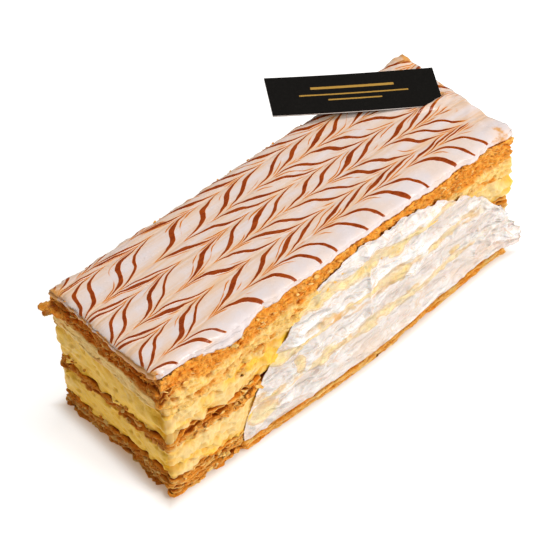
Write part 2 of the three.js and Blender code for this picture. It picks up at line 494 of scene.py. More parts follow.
def leaf_rings(name, floor, ceiling, leaves, shape, seed, inset=0.6, front_shift=0.0, window=None):
    """Thin wavy leaves lying one above another round the slice, each a closed ring with a torn edge."""
    half = (HALF_LENGTH - inset, HALF_WIDTH - inset)
    columns = int(4 * (half[0] + half[1]) / LEAF_COLUMN)
    rows = len(LEAF_PROFILE) - 1
    mesh = grid_mesh(name, columns, rows, strips=leaves)
    corners = corners_of(mesh)
    row = np.rint(corners[:, 1] * (leaves * (rows + 1) - 1)).astype(int)
    leaf = row // (rows + 1)
    inward, side = LEAF_PROFILE[row % (rows + 1)].T
    edge, normal = outline(corners[:, 0], *half)
    own = np.column_stack([edge, leaf * 17.3 + seed])
    shared = np.column_stack([edge, np.zeros(len(edge))])
    front = smooth(0.4, 0.9, -normal[:, 1])

    def vary(size, step):
        return uneven(own, (size, size, 1), seed + step)

    low = floor(edge[:, 0], edge[:, 1])
    high = ceiling(edge[:, 0], edge[:, 1])
    level = low + (leaf + 0.5) / leaves * (high - low)
    level = level + 0.4 * uneven(shared, (13, 13, 1), seed) + 0.42 * vary(5, 1)
    level = level + 0.15 * vary(1.8, 2)
    reach = 0.8 * vary(6, 3) + 0.5 * vary(2, 4)
    reach = shape.leaf_reach / 0.75 * (reach + 0.45 * vary(0.85, 5)) + 0.1
    reach = reach - 1.4 * smooth(0.25, 0.45, vary(3.6, 6))
    reach = reach + front * front_shift
    if window:
        start, end = window
        shown = front * smooth(start - 2, start + 2, edge[:, 0]) * smooth(end + 2, end - 2, edge[:, 0])
        reach = reach * shown + LEDGE_HIDDEN * (1 - shown)
    behind = front * under_paper(edge[:, 0], level)
    foot = smooth(PAPER_LOW[2] + 0.6, PAPER_LOW[2] - 0.6, level)
    at_foot = 1.5 + 0.25 * reach - reach
    tucked = np.minimum(reach, -0.1) - reach
    reach = reach + behind * (foot * at_foot + (1 - foot) * tucked)
    out = reach * (1 - inward) - (LEDGE_ROOT if window else LEAF_ROOT) * inward
    lively = 0.55 + 0.4 * smooth(PAPER_LOW[0] + 6, PAPER_LOW[0] - 2, edge[:, 0])
    z = level + lively * vary(3.4, 7) * (1 - inward) ** 2
    z = z + (0.14 + 0.06 * vary(2.5, 8)) * side
    z = np.clip(z, np.maximum(low - 0.4, 0), high + 0.3)
    there = np.column_stack([edge, z])
    spread = front_spread(there, normal) + far_reach(there, normal) * (1 - inward)
    moved = normal * (out + spread)[:, None]
    moved = moved + 0.6 * ragged_corner(there, seed) * (1 - inward)[:, None]
    moved[:, 1] += back_spread(there) * (1 - 0.5 * inward)
    set_corners(mesh, np.column_stack([edge + moved, z]))
    tip = smooth(0.3, 0.02, inward)
    near_end = np.maximum(-normal[:, 0], 0)
    bake = 0.64 + 0.2 * near_end + 0.24 * vary(8, 9)
    # the leaf tips are painted paler: partly the paler inside of the pastry, partly a painted highlight
    # where the thin edges catch the light
    bake = bake - 0.36 * tip * (0.8 + 0.5 * vary(3, 10))
    # the lower leaves of the near end are paler
    bake = bake - 0.16 * near_end * smooth(8, 4, level)
    paint(mesh, "bake", np.clip(bake, 0, 1))
    # the leaves are painted darker the further in they lie: painted shade in the gaps between them
    paint(mesh, "depth", smooth(0.1, -1.3, out) * (1 - 0.7 * tip))
    close_up(mesh)
    return mesh


def torn_crumb(places, seed):
    """A torn, airy surface of flaps, pits and a few wide holes, as distance out and share of hollow."""
    pits = smooth(0.44, 0.2, cells(places, (1.4, 1.4, 1.0), seed))
    holes = smooth(0.34, 0.18, cells(places, (4.2, 4.2, 2.6), seed + 3))
    flaps = uneven(places, (3.4, 3.4, 1.1), seed + 6)
    grain = 0.2 * uneven(places, 0.9, seed + 7) + 0.14 * uneven(places, 0.5, seed + 8)
    hollow = 0.5 * pits + 0.9 * holes + 0.55 * smooth(0.0, -0.6, flaps)
    return 0.75 * flaps + grain - 0.5 * pits - 1.2 * holes, np.clip(hollow, 0, 1)


def top_pastry_relief(shape, seed):
    """Pale soft dough below, a crumbly brown crust with pores above."""

    def relief(places, normal, height):
        def vary(size, step):
            return uneven(places, size, seed + step)

        leafy, gaps = leafy_relief(places, height, 10, shape, seed)
        edge = 0.45 - 0.1 * smooth(0.3, 0.9, -normal[:, 0])
        edge = edge + 0.1 * vary((9, 9, 50), 10) + 0.06 * vary((2.5, 2.5, 50), 11)
        crust = smooth(edge - 0.05, edge + 0.07, height)
        pores = smooth(0.5, 0.18, cells(places, (2.1, 2.1, 1.3), seed + 12))
        pits = smooth(0.5, 0.2, cells(places, (0.95, 0.95, 0.75), seed + 15))
        crumb = 0.5 * vary(1.7, 18) + 0.25 * vary(0.7, 19)
        grains = 0.7 - 1.3 * cells(places, (1.25, 1.25, 0.95), seed + 25)
        rough = 0.45 * leafy + 0.5 * crumb + 0.3 * grains - 0.9 * pores - 0.6 * pits
        soft = 0.35 * vary((5, 5, 2.2), 20) + 0.16 * vary((1.6, 1.6, 0.8), 21)
        crack = smooth(0.75, 1.0, 1 - np.abs(vary((7, 7, 1.5), 22)) * 4) * smooth(0.34, 0.1, height)
        lit = smooth(0.4, 0.9, -normal[:, 1])
        torn, hollow = torn_crumb(places, seed + 30)
        out = crust * rough + (1 - crust) * (soft + 0.35 - 0.9 * crack + lit * torn)
        # pores, pits and gaps in the crust are painted darker, less so on the lit front: painted shade
        sunken = np.clip(0.4 * gaps + 0.9 * pores + 0.7 * pits - 0.6 * grains, 0, 1)
        depth = crust * (1 - 0.55 * lit) * sunken
        # cracks in the dough, and hollows in its torn front, are painted darker: painted shade
        depth = depth + (1 - crust) * (0.35 * crack + 0.62 * lit * hollow)
        out = out - 0.9 * crust * (1 - lit)
        # the crust is painted paler on the front, which faces the key lamp: painted light
        bake = crust * (0.7 - 0.12 * lit + 0.22 * vary((5, 5, 2), 23)) + (1 - crust) * 0.04
        patchy = smooth(0.1, 0.6, vary((4, 4, 1.4), 24))
        bake = bake + (1 - crust) * (0.18 + 0.3 * smooth(38, 58, places[:, 0])) * patchy
        bake = bake + (1 - crust) * 0.14 * np.maximum(-normal[:, 0], 0)
        # on the torn front the dough is browner in patches, and browner still in its hollows: painted shade
        # in the hollows
        bake = bake + (1 - crust) * lit * (0.04 + 0.14 * vary((2.2, 2.2, 1.0), 36) + 0.3 * hollow)
        return out, {"depth": depth, "bake": np.clip(bake, 0, 1)}

    return relief


def flake_mesh(name, flakes, seed):
    """Loose curled flakes in one mesh. Each is a centre, a length and a width in mm, three turns in
    degrees (about X, Y, then Z) and how well baked it is."""
    draw = np.random.default_rng(seed)
    bm = bmesh.new()
    bakes = []
    for centre, length, width, turns, bake in flakes:
        fine = length > 3.5
        cuts, cross_cuts = (12, 5) if fine else (5, 3)
        made = bmesh.ops.create_grid(bm, x_segments=cuts, y_segments=cross_cuts, size=1)["verts"]
        local = np.array([v.co for v in made])
        local[:, :2] += draw.uniform(-1, 1, (len(made), 2)) * ((0.05, 0.1) if fine else (0.16, 0.25))
        along, across = np.clip(local[:, 0], -1, 1), local[:, 1]
        wave = draw.uniform(0, 6.3, 4)
        taper = (1 - np.abs(along) ** 3) ** 0.5 * 0.85 + 0.15
        ragged = 1 + 0.22 * np.sin(along * 7 + wave[0]) * np.sin(along * 17 + wave[1])
        ripple = 0.04 * np.sin(across * 2.5 + along * 3 + wave[3])
        bend = length * (0.07 * np.sin(along * 2.2 + wave[2]) + ripple)
        shaped = np.column_stack([along * length / 2, across * taper * ragged * width / 2, bend])
        tilt, pitch, heading = (Matrix.Rotation(math.radians(t), 3, axis) for t, axis in zip(turns, "XYZ"))
        turn = np.array(heading @ pitch @ tilt)
        for vert, place in zip(made, shaped @ turn.T + np.array(centre)):
            vert.co = place
        bakes += [bake] * len(made)
    mesh = bpy.data.meshes.new(name)
    bm.to_mesh(mesh)
    bm.free()
    paint(mesh, "bake", bakes)
    paint(mesh, "depth", np.zeros(len(bakes)))
    close_up(mesh, thickness=FLAKE_THICKNESS)
    return mesh


def placed_flakes():
    """The flakes that stand out most: the torn back corner, the icing's edge and the front side."""
    back = HALF_WIDTH
    return [
        ((NEAR_X - 1.2, back + 0.6, 41.0), 4.8, 3.2, (8, -5, 150), 0.5),
        ((NEAR_X - 0.7, back - 3.0, 41.6), 5.4, 3.0, (-6, 4, 100), 0.7),
        ((NEAR_X - 0.9, back - 0.4, 39.8), 5.0, 3.0, (4, 6, 135), 0.25),
        ((NEAR_X + 0.8, back + 1.8, 39.2), 4.0, 2.4, (12, 0, 20), 0.15),
        ((NEAR_X + 2.0, back - 4.8, 47.4), 3.8, 2.4, (6, -3, 70), 0.35),
        ((NEAR_X + 11.5, FRONT_Y - 0.7, 13.4), 3.4, 1.3, (75, 70, 10), 0.6),
        ((NEAR_X + 13.0, FRONT_Y - 0.6, 14.8), 2.6, 1.2, (60, 40, 0), 0.7),
        ((NEAR_X + 30.2, FRONT_Y - 1.9, 21.6), 2.8, 1.0, (30, 25, -30), 0.3),
        ((NEAR_X + 28.6, FRONT_Y - 1.6, 20.8), 3.0, 1.2, (50, -30, 15), 0.55),
        ((NEAR_X + 27.2, FRONT_Y - 1.4, 19.8), 3.0, 1.3, (60, 35, -10), 0.8),
        ((NEAR_X + 25.6, FRONT_Y - 1.2, 19.4), 3.2, 1.2, (35, -20, 20), 0.45),
        ((NEAR_X + 24.0, FRONT_Y - 1.0, 18.6), 3.2, 1.3, (45, 15, -8), 0.8),
    ]


SMALL_FLAKES = 900
RIM_CRUMBS = 100


def spot_on_edge(turn, inset):
    """One place on the slice's outline, moved inwards a little, and its outward direction."""
    places, normals = outline(np.array([turn]), HALF_LENGTH - inset, HALF_WIDTH - inset)
    return places[0], normals[0]


def scattered_flakes(seed):
    """Small flakes and crumbs along the edges of the pastry layers."""
    draw = np.random.default_rng(seed)
    bands = (
        (0.6, JOINT_HEIGHTS["bottom"]),
        (JOINT_HEIGHTS["lower"], JOINT_HEIGHTS["middle"]),
        (JOINT_HEIGHTS["top"] - 6.0, JOINT_HEIGHTS["top"]),
    )
    flakes = []
    for _ in range(SMALL_FLAKES):
        band = bands[draw.integers(3)]
        place, normal = spot_on_edge(draw.random(), 0.5)
        on_front = normal[1] < -0.5
        heading = math.degrees(math.atan2(normal[1], normal[0])) + 90
        z = draw.uniform(*band)
        if on_front and paper_top(place[0]) + 1.5 > z and place[0] > PAPER_LOW[0] - 2:
            continue
        spread = foot_spread(place[0], z) if on_front else 0
        out = place + normal * (draw.uniform(-0.3, 0.5) + spread)
        turns = (draw.uniform(-40, 70), draw.uniform(-25, 25), heading + draw.uniform(-35, 35))
        length, width, bake = draw.uniform(0.7, 2.4), draw.uniform(0.4, 1.1), draw.uniform(0.1, 0.7)
        flakes.append(((*out, z), length, width, turns, bake))
    for _ in range(RIM_CRUMBS):
        # crumbs along the rim of the icing
        place, normal = spot_on_edge(draw.random(), 0.3)
        if normal[1] < -0.5:
            continue
        out = place + normal * draw.uniform(-0.9, 0.2)
        turns = (draw.uniform(-25, 25), draw.uniform(-25, 25), draw.uniform(0, 360))
        z = draw.uniform(ICING_TOP - 1.5, ICING_TOP - 0.8)
        length, width, bake = draw.uniform(0.5, 1.2), draw.uniform(0.4, 0.8), draw.uniform(0.3, 0.8)
        flakes.append(((*out, z), length, width, turns, bake))
    return flakes


# ---------------------------------------------------------------- cream


def cream_relief(shape, seed):
    """A soft bulge with knife drags, dimples and torn lower and upper edges."""

    def relief(places, normal, height):
        def vary(size, step):
            return uneven(places, size, seed + step)

        bulge = shape.cream_bulge * (1 - (2 * height - 1) ** 2) - 0.35
        front = smooth(0.3, 0.9, -normal[:, 1])
        open_front = front * (1 - under_paper(places[:, 0], places[:, 2]))
        cut = smooth(0.3, 0.9, -normal[:, 0])
        lumps = 0.5 * vary((8, 8, 4.5), 0) + 0.25 * vary((3, 3, 2), 1)
        lumps = lumps + cut * (0.3 * vary((4, 4, 3), 14) + 0.2 * vary(1.6, 15) - 0.2)
        ledges = 1.2 - 2.2 * cells(places, (4.5, 4.5, 3.0), seed + 12)
        torn_bits = 0.7 - 1.3 * cells(places, (1.9, 1.9, 1.3), seed + 16)
        crumb, pitted = torn_crumb(places, seed + 40)
        lumps = lumps + open_front * (0.9 * ledges + 0.45 * torn_bits + 0.7 * crumb - 0.1)
        slanted = places.copy()
        slanted[:, 2] += 0.7 * (places[:, 0] - places[:, 1])
        drag = 0.14 * uneven(slanted, (6, 6, 0.9), seed + 2)
        fine = 0.07 * vary(0.8, 3)
        dimple = smooth(0.3, 0.12, cells(places, 3.2, seed + 4))
        torn = smooth(0.2, 0.0, np.minimum(height, 1 - height)) * (0.7 + 0.5 * cut) * vary((1.8, 1.8, 9), 8)
        out = bulge + lumps + drag + fine - 0.5 * dimple + torn
        covered = front * under_paper(places[:, 0], places[:, 2])
        out = np.where(covered > 0.3, np.minimum(out, 0.35), out)
        # no deep hollow beside the edge of the paper
        beside_edge = front * under_paper(places[:, 0], places[:, 2], 3.5)
        out = out + (np.maximum(out, -0.25) - out) * beside_edge
        # the cut end, in the shade, is painted a deeper yellow and the open, lit front paler: painted shade
        # and painted light
        tint = 0.42 - 0.38 * cut + 0.3 * open_front + 0.4 * vary((7, 7, 3), 9)
        tint = np.clip(tint + 0.15 * drag / 0.14, 0, 1)
        # hollows are painted a deeper orange through this depth: painted shade
        hollow = smooth(0.1, -0.9, out) * (0.4 + 0.6 * open_front)
        return out, {"tint": tint, "depth": np.maximum(hollow, 0.75 * open_front * pitted)}

    return relief


# ---------------------------------------------------------------- shader building


class Wiring:
    """Adds nodes to one node tree and joins them."""

    def __init__(self, tree):
        self.tree = tree

    def node(self, kind, **settings):
        made = self.tree.nodes.new(kind)
        for key, value in settings.items():
            setattr(made, key, value)
        return made

    def put(self, socket, value):
        if isinstance(value, bpy.types.NodeSocket):
            self.tree.links.new(value, socket)
        else:
            socket.default_value = value

    def math(self, operation, *values):
        made = self.node("ShaderNodeMath", operation=operation)
        for socket, value in zip(made.inputs, values):
            self.put(socket, value)
        return made.outputs[0]

    def plus(self, first, second):
        return self.math("ADD", first, second)

    def minus(self, first, second):
        return self.math("SUBTRACT", first, second)

    def times(self, first, second):
        return self.math("MULTIPLY", first, second)

    def times_plus(self, first, second, third):
        return self.math("MULTIPLY_ADD", first, second, third)

    def most(self, first, second):
        return self.math("MAXIMUM", first, second)

    def apart(self, first, second):
        """How far apart two values are."""
        return self.math("ABSOLUTE", self.minus(first, second))

    def split(self, vector):
        """The three coordinates of a vector."""
        made = self.node("ShaderNodeSeparateXYZ")
        self.put(made.inputs[0], vector)
        return made.outputs

    def range(self, value, low, high, to_low=0.0, to_high=1.0):
        """A soft step from one value to another."""
        made = self.node("ShaderNodeMapRange", interpolation_type="SMOOTHSTEP")
        entries = {"Value": value, "From Min": low, "From Max": high, "To Min": to_low, "To Max": to_high}
        for name, entry in entries.items():
            self.put(made.inputs[name], entry)
        return made.outputs["Result"]

    def mix(self, factor, first, second):
        made = self.node("ShaderNodeMix", data_type="RGBA")
        self.put(made.inputs["Factor"], factor)
        for name, entry in (("A", first), ("B", second)):
            socket = next(s for s in made.inputs if s.name == name and s.type == "RGBA")
            self.put(socket, entry if isinstance(entry, bpy.types.NodeSocket) else (*entry, 1.0))
        return next(s for s in made.outputs if s.type == "RGBA")

    def stretched(self, vector, scale):
        made = self.node("ShaderNodeMapping")
        self.put(made.inputs["Vector"], vector)
        made.inputs["Scale"].default_value = scale
        return made.outputs["Vector"]

    def pattern(self, kind, vector, scale, **settings):
        """A texture node. Three numbers as its scale stretch the pattern."""
        if isinstance(scale, tuple):
            vector = self.stretched(vector, scale)
            scale = 1.0
        made = self.node(kind, **settings)
        self.put(made.inputs["Vector"], vector)
        made.inputs["Scale"].default_value = scale
        return made

    def noise(self, vector, scale, detail=3.0, roughness=0.55):
        made = self.pattern("ShaderNodeTexNoise", vector, scale)
        made.inputs["Detail"].default_value = detail
        made.inputs["Roughness"].default_value = roughness
        return made.outputs["Fac"]

    def cells(self, vector, scale):
        """Distance to the nearest of scattered points."""
        return self.pattern("ShaderNodeTexVoronoi", vector, scale).outputs["Distance"]

    def edges(self, vector, scale):
        """Distance to the borders between scattered cells."""
        made = self.pattern("ShaderNodeTexVoronoi", vector, scale, feature="DISTANCE_TO_EDGE")
        return made.outputs["Distance"]

    def attribute(self, name):
        return self.node("ShaderNodeAttribute", attribute_name=name).outputs["Fac"]

    def bump(self, height, distance, strength=1.0):
        made = self.node("ShaderNodeBump")
        made.inputs["Distance"].default_value = distance
        made.inputs["Strength"].default_value = strength
        self.put(made.inputs["Height"], height)
        return made.outputs["Normal"]


def new_material(name, sockets):
    """A Principled material with its plain values set, its wiring and its object coordinates in mm."""
    material = bpy.data.materials.new(name)
    material.use_nodes = True
    wiring = Wiring(material.node_tree)
    shader = material.node_tree.nodes["Principled BSDF"]
    for key, value in sockets.items():
        shader.inputs[key].default_value = value
    in_mm = wiring.node("ShaderNodeVectorMath", operation="SCALE")
    wiring.put(in_mm.inputs[0], wiring.node("ShaderNodeTexCoord").outputs["Object"])
    in_mm.inputs["Scale"].default_value = 1 / MM
    return material, wiring, shader, in_mm.outputs[0]


def new_group(name, inputs, outputs):
    """An empty node group with float or vector inputs and outputs, and its wiring."""
    tree = bpy.data.node_groups.new(name, "ShaderNodeTree")
    for label, kind in inputs:
        tree.interface.new_socket(label, in_out="INPUT", socket_type=kind)
    for label, kind in outputs:
        tree.interface.new_socket(label, in_out="OUTPUT", socket_type=kind)
    wiring = Wiring(tree)
    return tree, wiring, wiring.node("NodeGroupInput").outputs, wiring.node("NodeGroupOutput").inputs


def use_group(wiring, tree, **values):
    made = wiring.node("ShaderNodeGroup", node_tree=tree)
    for key, value in values.items():
        wiring.put(made.inputs[key], value)
    return made.outputs


# ---------------------------------------------------------------- feathered icing

# The strokes dragged along the icing: direction, and the distance from the front edge
# at the near end, the middle and the far end.
STROKES = (
    (-1, 4.4, 9.2, 8.9),
    (1, 12.0, 14.1, 10.2),
    (-1, 16.2, 20.4, 17.2),
    (1, 24.3, 26.4, 22.4),
    (-1, 28.2, 31.9, 31.2),
    (1, 38.1, 37.9, 37.6),
    (-1, 39.4, 42.6, 42.2),
)
# The piped lines: distance from the near end and share of the full width.
PIPED_LINES = (
    (2.0, 0.62),
    (6.6, 0.66),
    (16.4, 1.0),
    (20.9, 0.42),
    (34.0, 1.05),
    (44.6, 0.85),
    (53.6, 0.95),
    (59.9, 0.72),
    (70.2, 0.72),
    (77.2, 0.72),
    (86.2, 1.05),
    (92.5, 0.78),
    (103.9, 0.98),
    (110.0, 0.72),
    (115.7, 0.66),
    (124.6, 0.8),
)
# The share of a stroke's pull that dies away fast, and the share that reaches wide.
NARROW_PULL = 0.86
WIDE_PULL = 0.16
# Faint trails that only show beside the strokes.
TRAILS = (13.7, 31.3, 37.2, 50.7, 65.6, 73.5, 83.0, 97.5, 107.2, 119.8)


def feather_group(feather):
    """Masks of the piped lines, of the haze along the strokes and of the grooves, from a place in mm."""
    tree, w, given, out = new_group(
        "feathering",
        [("Place", "NodeSocketVector")],
        [("Line", "NodeSocketFloat"), ("Haze", "NodeSocketFloat"), ("Groove", "NodeSocketFloat")],
    )
    split = w.split(given["Place"])
    x = w.minus(split[0], NEAR_X)
    y = w.minus(split[1], FRONT_Y)
    t = w.math("DIVIDE", x, 2 * HALF_LENGTH)
    wander = w.minus(w.noise(given["Place"], 0.09, 2.0), 0.5)
    elsewhere = w.node("ShaderNodeVectorMath", operation="ADD")
    w.put(elsewhere.inputs[0], given["Place"])
    elsewhere.inputs[1].default_value = (37.0, 11.0, 5.0)
    drift = w.minus(w.noise(elsewhere.outputs[0], 0.12, 2.0), 0.5)
    shake = w.minus(w.noise(given["Place"], 0.4, 1.0), 0.5)
    pulled = w.times_plus(wander, 3.6, w.times_plus(shake, 0.5, x))
    # the lines lean on towards the far end where they run out over the front edge
    pulled = w.times_plus(w.most(w.minus(7.5, y), 0.0), -0.34, pulled)
    y = w.times_plus(drift, 1.6, y)
    haze = 0.0
    groove = 0.0
    near_stroke = 0.0
    slant = 0.0
    for direction, near, middle, far in STROKES:
        # a parabola through the three distances
        bend = 2 * near - 4 * middle + 2 * far
        slope = far - near - bend
        centre = w.times_plus(t, w.times_plus(t, bend, slope), near)
        beyond = w.minus(y, centre)
        away = w.math("ABSOLUTE", beyond)
        pull = w.math("EXPONENT", w.times(away, -1 / feather.fade))
        wide_pull = w.math("EXPONENT", w.times(away, -0.22 / feather.fade))
        pulled = w.times_plus(pull, -NARROW_PULL * direction * feather.drag, pulled)
        pulled = w.times_plus(wide_pull, -WIDE_PULL * direction * feather.drag, pulled)
        leaning = w.times(pull, w.math("SIGN", beyond))
        slant = w.times_plus(leaning, direction * NARROW_PULL * feather.drag / feather.fade, slant)
        haze = w.most(haze, w.range(away, 4.2, 0.0))
        near_stroke = w.most(near_stroke, pull)
        groove = w.most(groove, w.range(away, 0.7, 0.0))
    # how much narrower a line is across than along the slice
    narrowing = w.math("INVERSE_SQRT", w.times_plus(slant, slant, 1.0))
    # the lines taper to thin tails beside the strokes, and are thinner towards the front edge
    taper = w.range(near_stroke, 0.0, 0.62, 1.0, 0.0)
    body = w.times(taper, w.range(y, 0.6, 3.0, 0.35, 0.95))
    body = w.times(body, w.range(w.noise(given["Place"], 0.35, 2.0), 0.25, 0.75, 0.8, 1.2))
    tail = w.range(near_stroke, 0.5, 0.95, 0.14, 0.05)
    line = 0.0
    for place, share in PIPED_LINES:
        away = w.times(w.apart(pulled, place), narrowing)
        over = w.minus(away, w.times_plus(body, share * feather.line_width / 2 - 0.14, tail))
        line = w.most(line, w.range(over, 0.2, -0.1))
    trail = 0.0
    for place in TRAILS:
        away = w.times(w.apart(pulled, place), narrowing)
        trail = w.most(trail, w.range(away, 0.3, 0.04))
    shown = w.times(w.range(near_stroke, 0.0, 0.12), w.range(y, 3.5, 7.0))
    shown = w.times(shown, w.range(w.noise(given["Place"], 0.15, 1.0), 0.42, 0.6, 0.0, 0.6))
    line = w.most(line, w.times(trail, shown))
    # close to a stroke the tails are dragged out until they blur
    line = w.times(line, w.range(near_stroke, 0.55, 0.97, 1.0, 0.5))
    # the front of the far end is plain
    line = w.times(line, w.most(w.range(x, 121.0, 117.0), w.range(y, 19.0, 24.0)))
    streaks = w.noise(given["Place"], (0.09, 1.6, 0.2), 4.0, 0.6)
    haze = w.times(haze, w.range(streaks, 0.2, 0.72))
    w.put(out["Line"], line)
    w.put(out["Haze"], haze)
    w.put(out["Groove"], groove)
    return tree


def icing_material(colours, feather):
    material, w, shader, place = new_material("feathered_icing", {
        "Subsurface Weight": 0.05,
        "Subsurface Scale": 0.001,
        "Subsurface Radius": (1.0, 0.75, 0.6),
        "Coat Weight": 0.07,
        "Coat Roughness": 0.12,
        "Specular IOR Level": 0.3,
    })
    masks = use_group(w, feather_group(feather), Place=place)
    split = w.split(place)
    inside = w.range(w.minus(split[1], FRONT_Y), 0.3, 0.9)
    inside = w.times(inside, w.range(split[2], ICING_TOP - 1.1, ICING_TOP - 0.7))
    line = w.times(masks["Line"], inside)
    patches = w.noise(place, 0.16, 3.0)
    ground = w.mix(w.range(patches, 0.35, 0.7), colours.icing, (0.76, 0.62, 0.55))
    haze = w.times(w.times(masks["Haze"], inside), 0.9)
    ground = w.mix(haze, ground, (0.73, 0.455, 0.25))
    soft = w.mix(w.range(line, 0.0, 0.45), ground, (0.66, 0.20, 0.014))
    streak = w.noise(place, (0.25, 0.9, 0.3), 2.0)
    core = w.mix(w.range(streak, 0.3, 0.7), colours.feather, (0.33, 0.052, 0.002))
    surface = w.mix(w.range(line, 0.4, 0.9), soft, core)
    thin = w.attribute("thin")
    bare = w.times_plus(w.noise(place, 0.9, 3.0), 0.9, thin)
    surface = w.mix(w.range(bare, 0.7, 1.2), surface, (0.70, 0.33, 0.09))
    w.put(shader.inputs["Base Color"], surface)
    relief = w.times_plus(line, 0.5, w.times(masks["Groove"], -0.6))
    relief = w.times_plus(w.noise(place, 0.35, 3.0), 0.9, relief)
    w.put(shader.inputs["Normal"], w.bump(relief, 0.00012))
    rough = w.range(w.noise(place, 0.5, 4.0), 0.3, 0.75, 0.17, 0.34)
    w.put(shader.inputs["Roughness"], rough)
    return material


def card_frame():
    """Centre and the long, short and upward directions of the card, from its CAD mesh."""
    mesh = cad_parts["label_card"].data
    points = np.array([v.co for v in mesh.vertices]) / MM
    centre = points.mean(axis=0)
    _, _, axes = np.linalg.svd(points - centre, full_matrices=False)
    long_way = axes[0] * np.sign(axes[0][0])
    up = axes[2] * np.sign(axes[2][2])
    return centre, long_way, np.cross(up, long_way), up


CARD_LENGTH = 47.8
CARD_WIDTH = 15.0
CARD_THICKNESS = 0.5
# how much of the front corner the icing has run over, along and across the card
COVERED_ALONG = 6.4
COVERED_ACROSS = 4.0


def under_card(x, y):
    """Height of the card's lower face over each place, how far inside its outline that is, and
    whether it is in the triangle of the front corner that the icing covers."""
    centre, long_way, short_way, up = card_frame()
    z = centre[2] - (up[0] * (x - centre[0]) + up[1] * (y - centre[1])) / up[2]
    there = np.stack([x, y, z], axis=1) - centre
    along = CARD_LENGTH / 2 - there @ long_way
    across = CARD_WIDTH / 2 + there @ short_way
    inside = np.minimum(np.minimum(along, CARD_LENGTH - along), np.minimum(across, CARD_WIDTH - across))
    return z - CARD_THICKNESS / 2, inside, 1 - along / COVERED_ALONG - across / COVERED_ACROSS


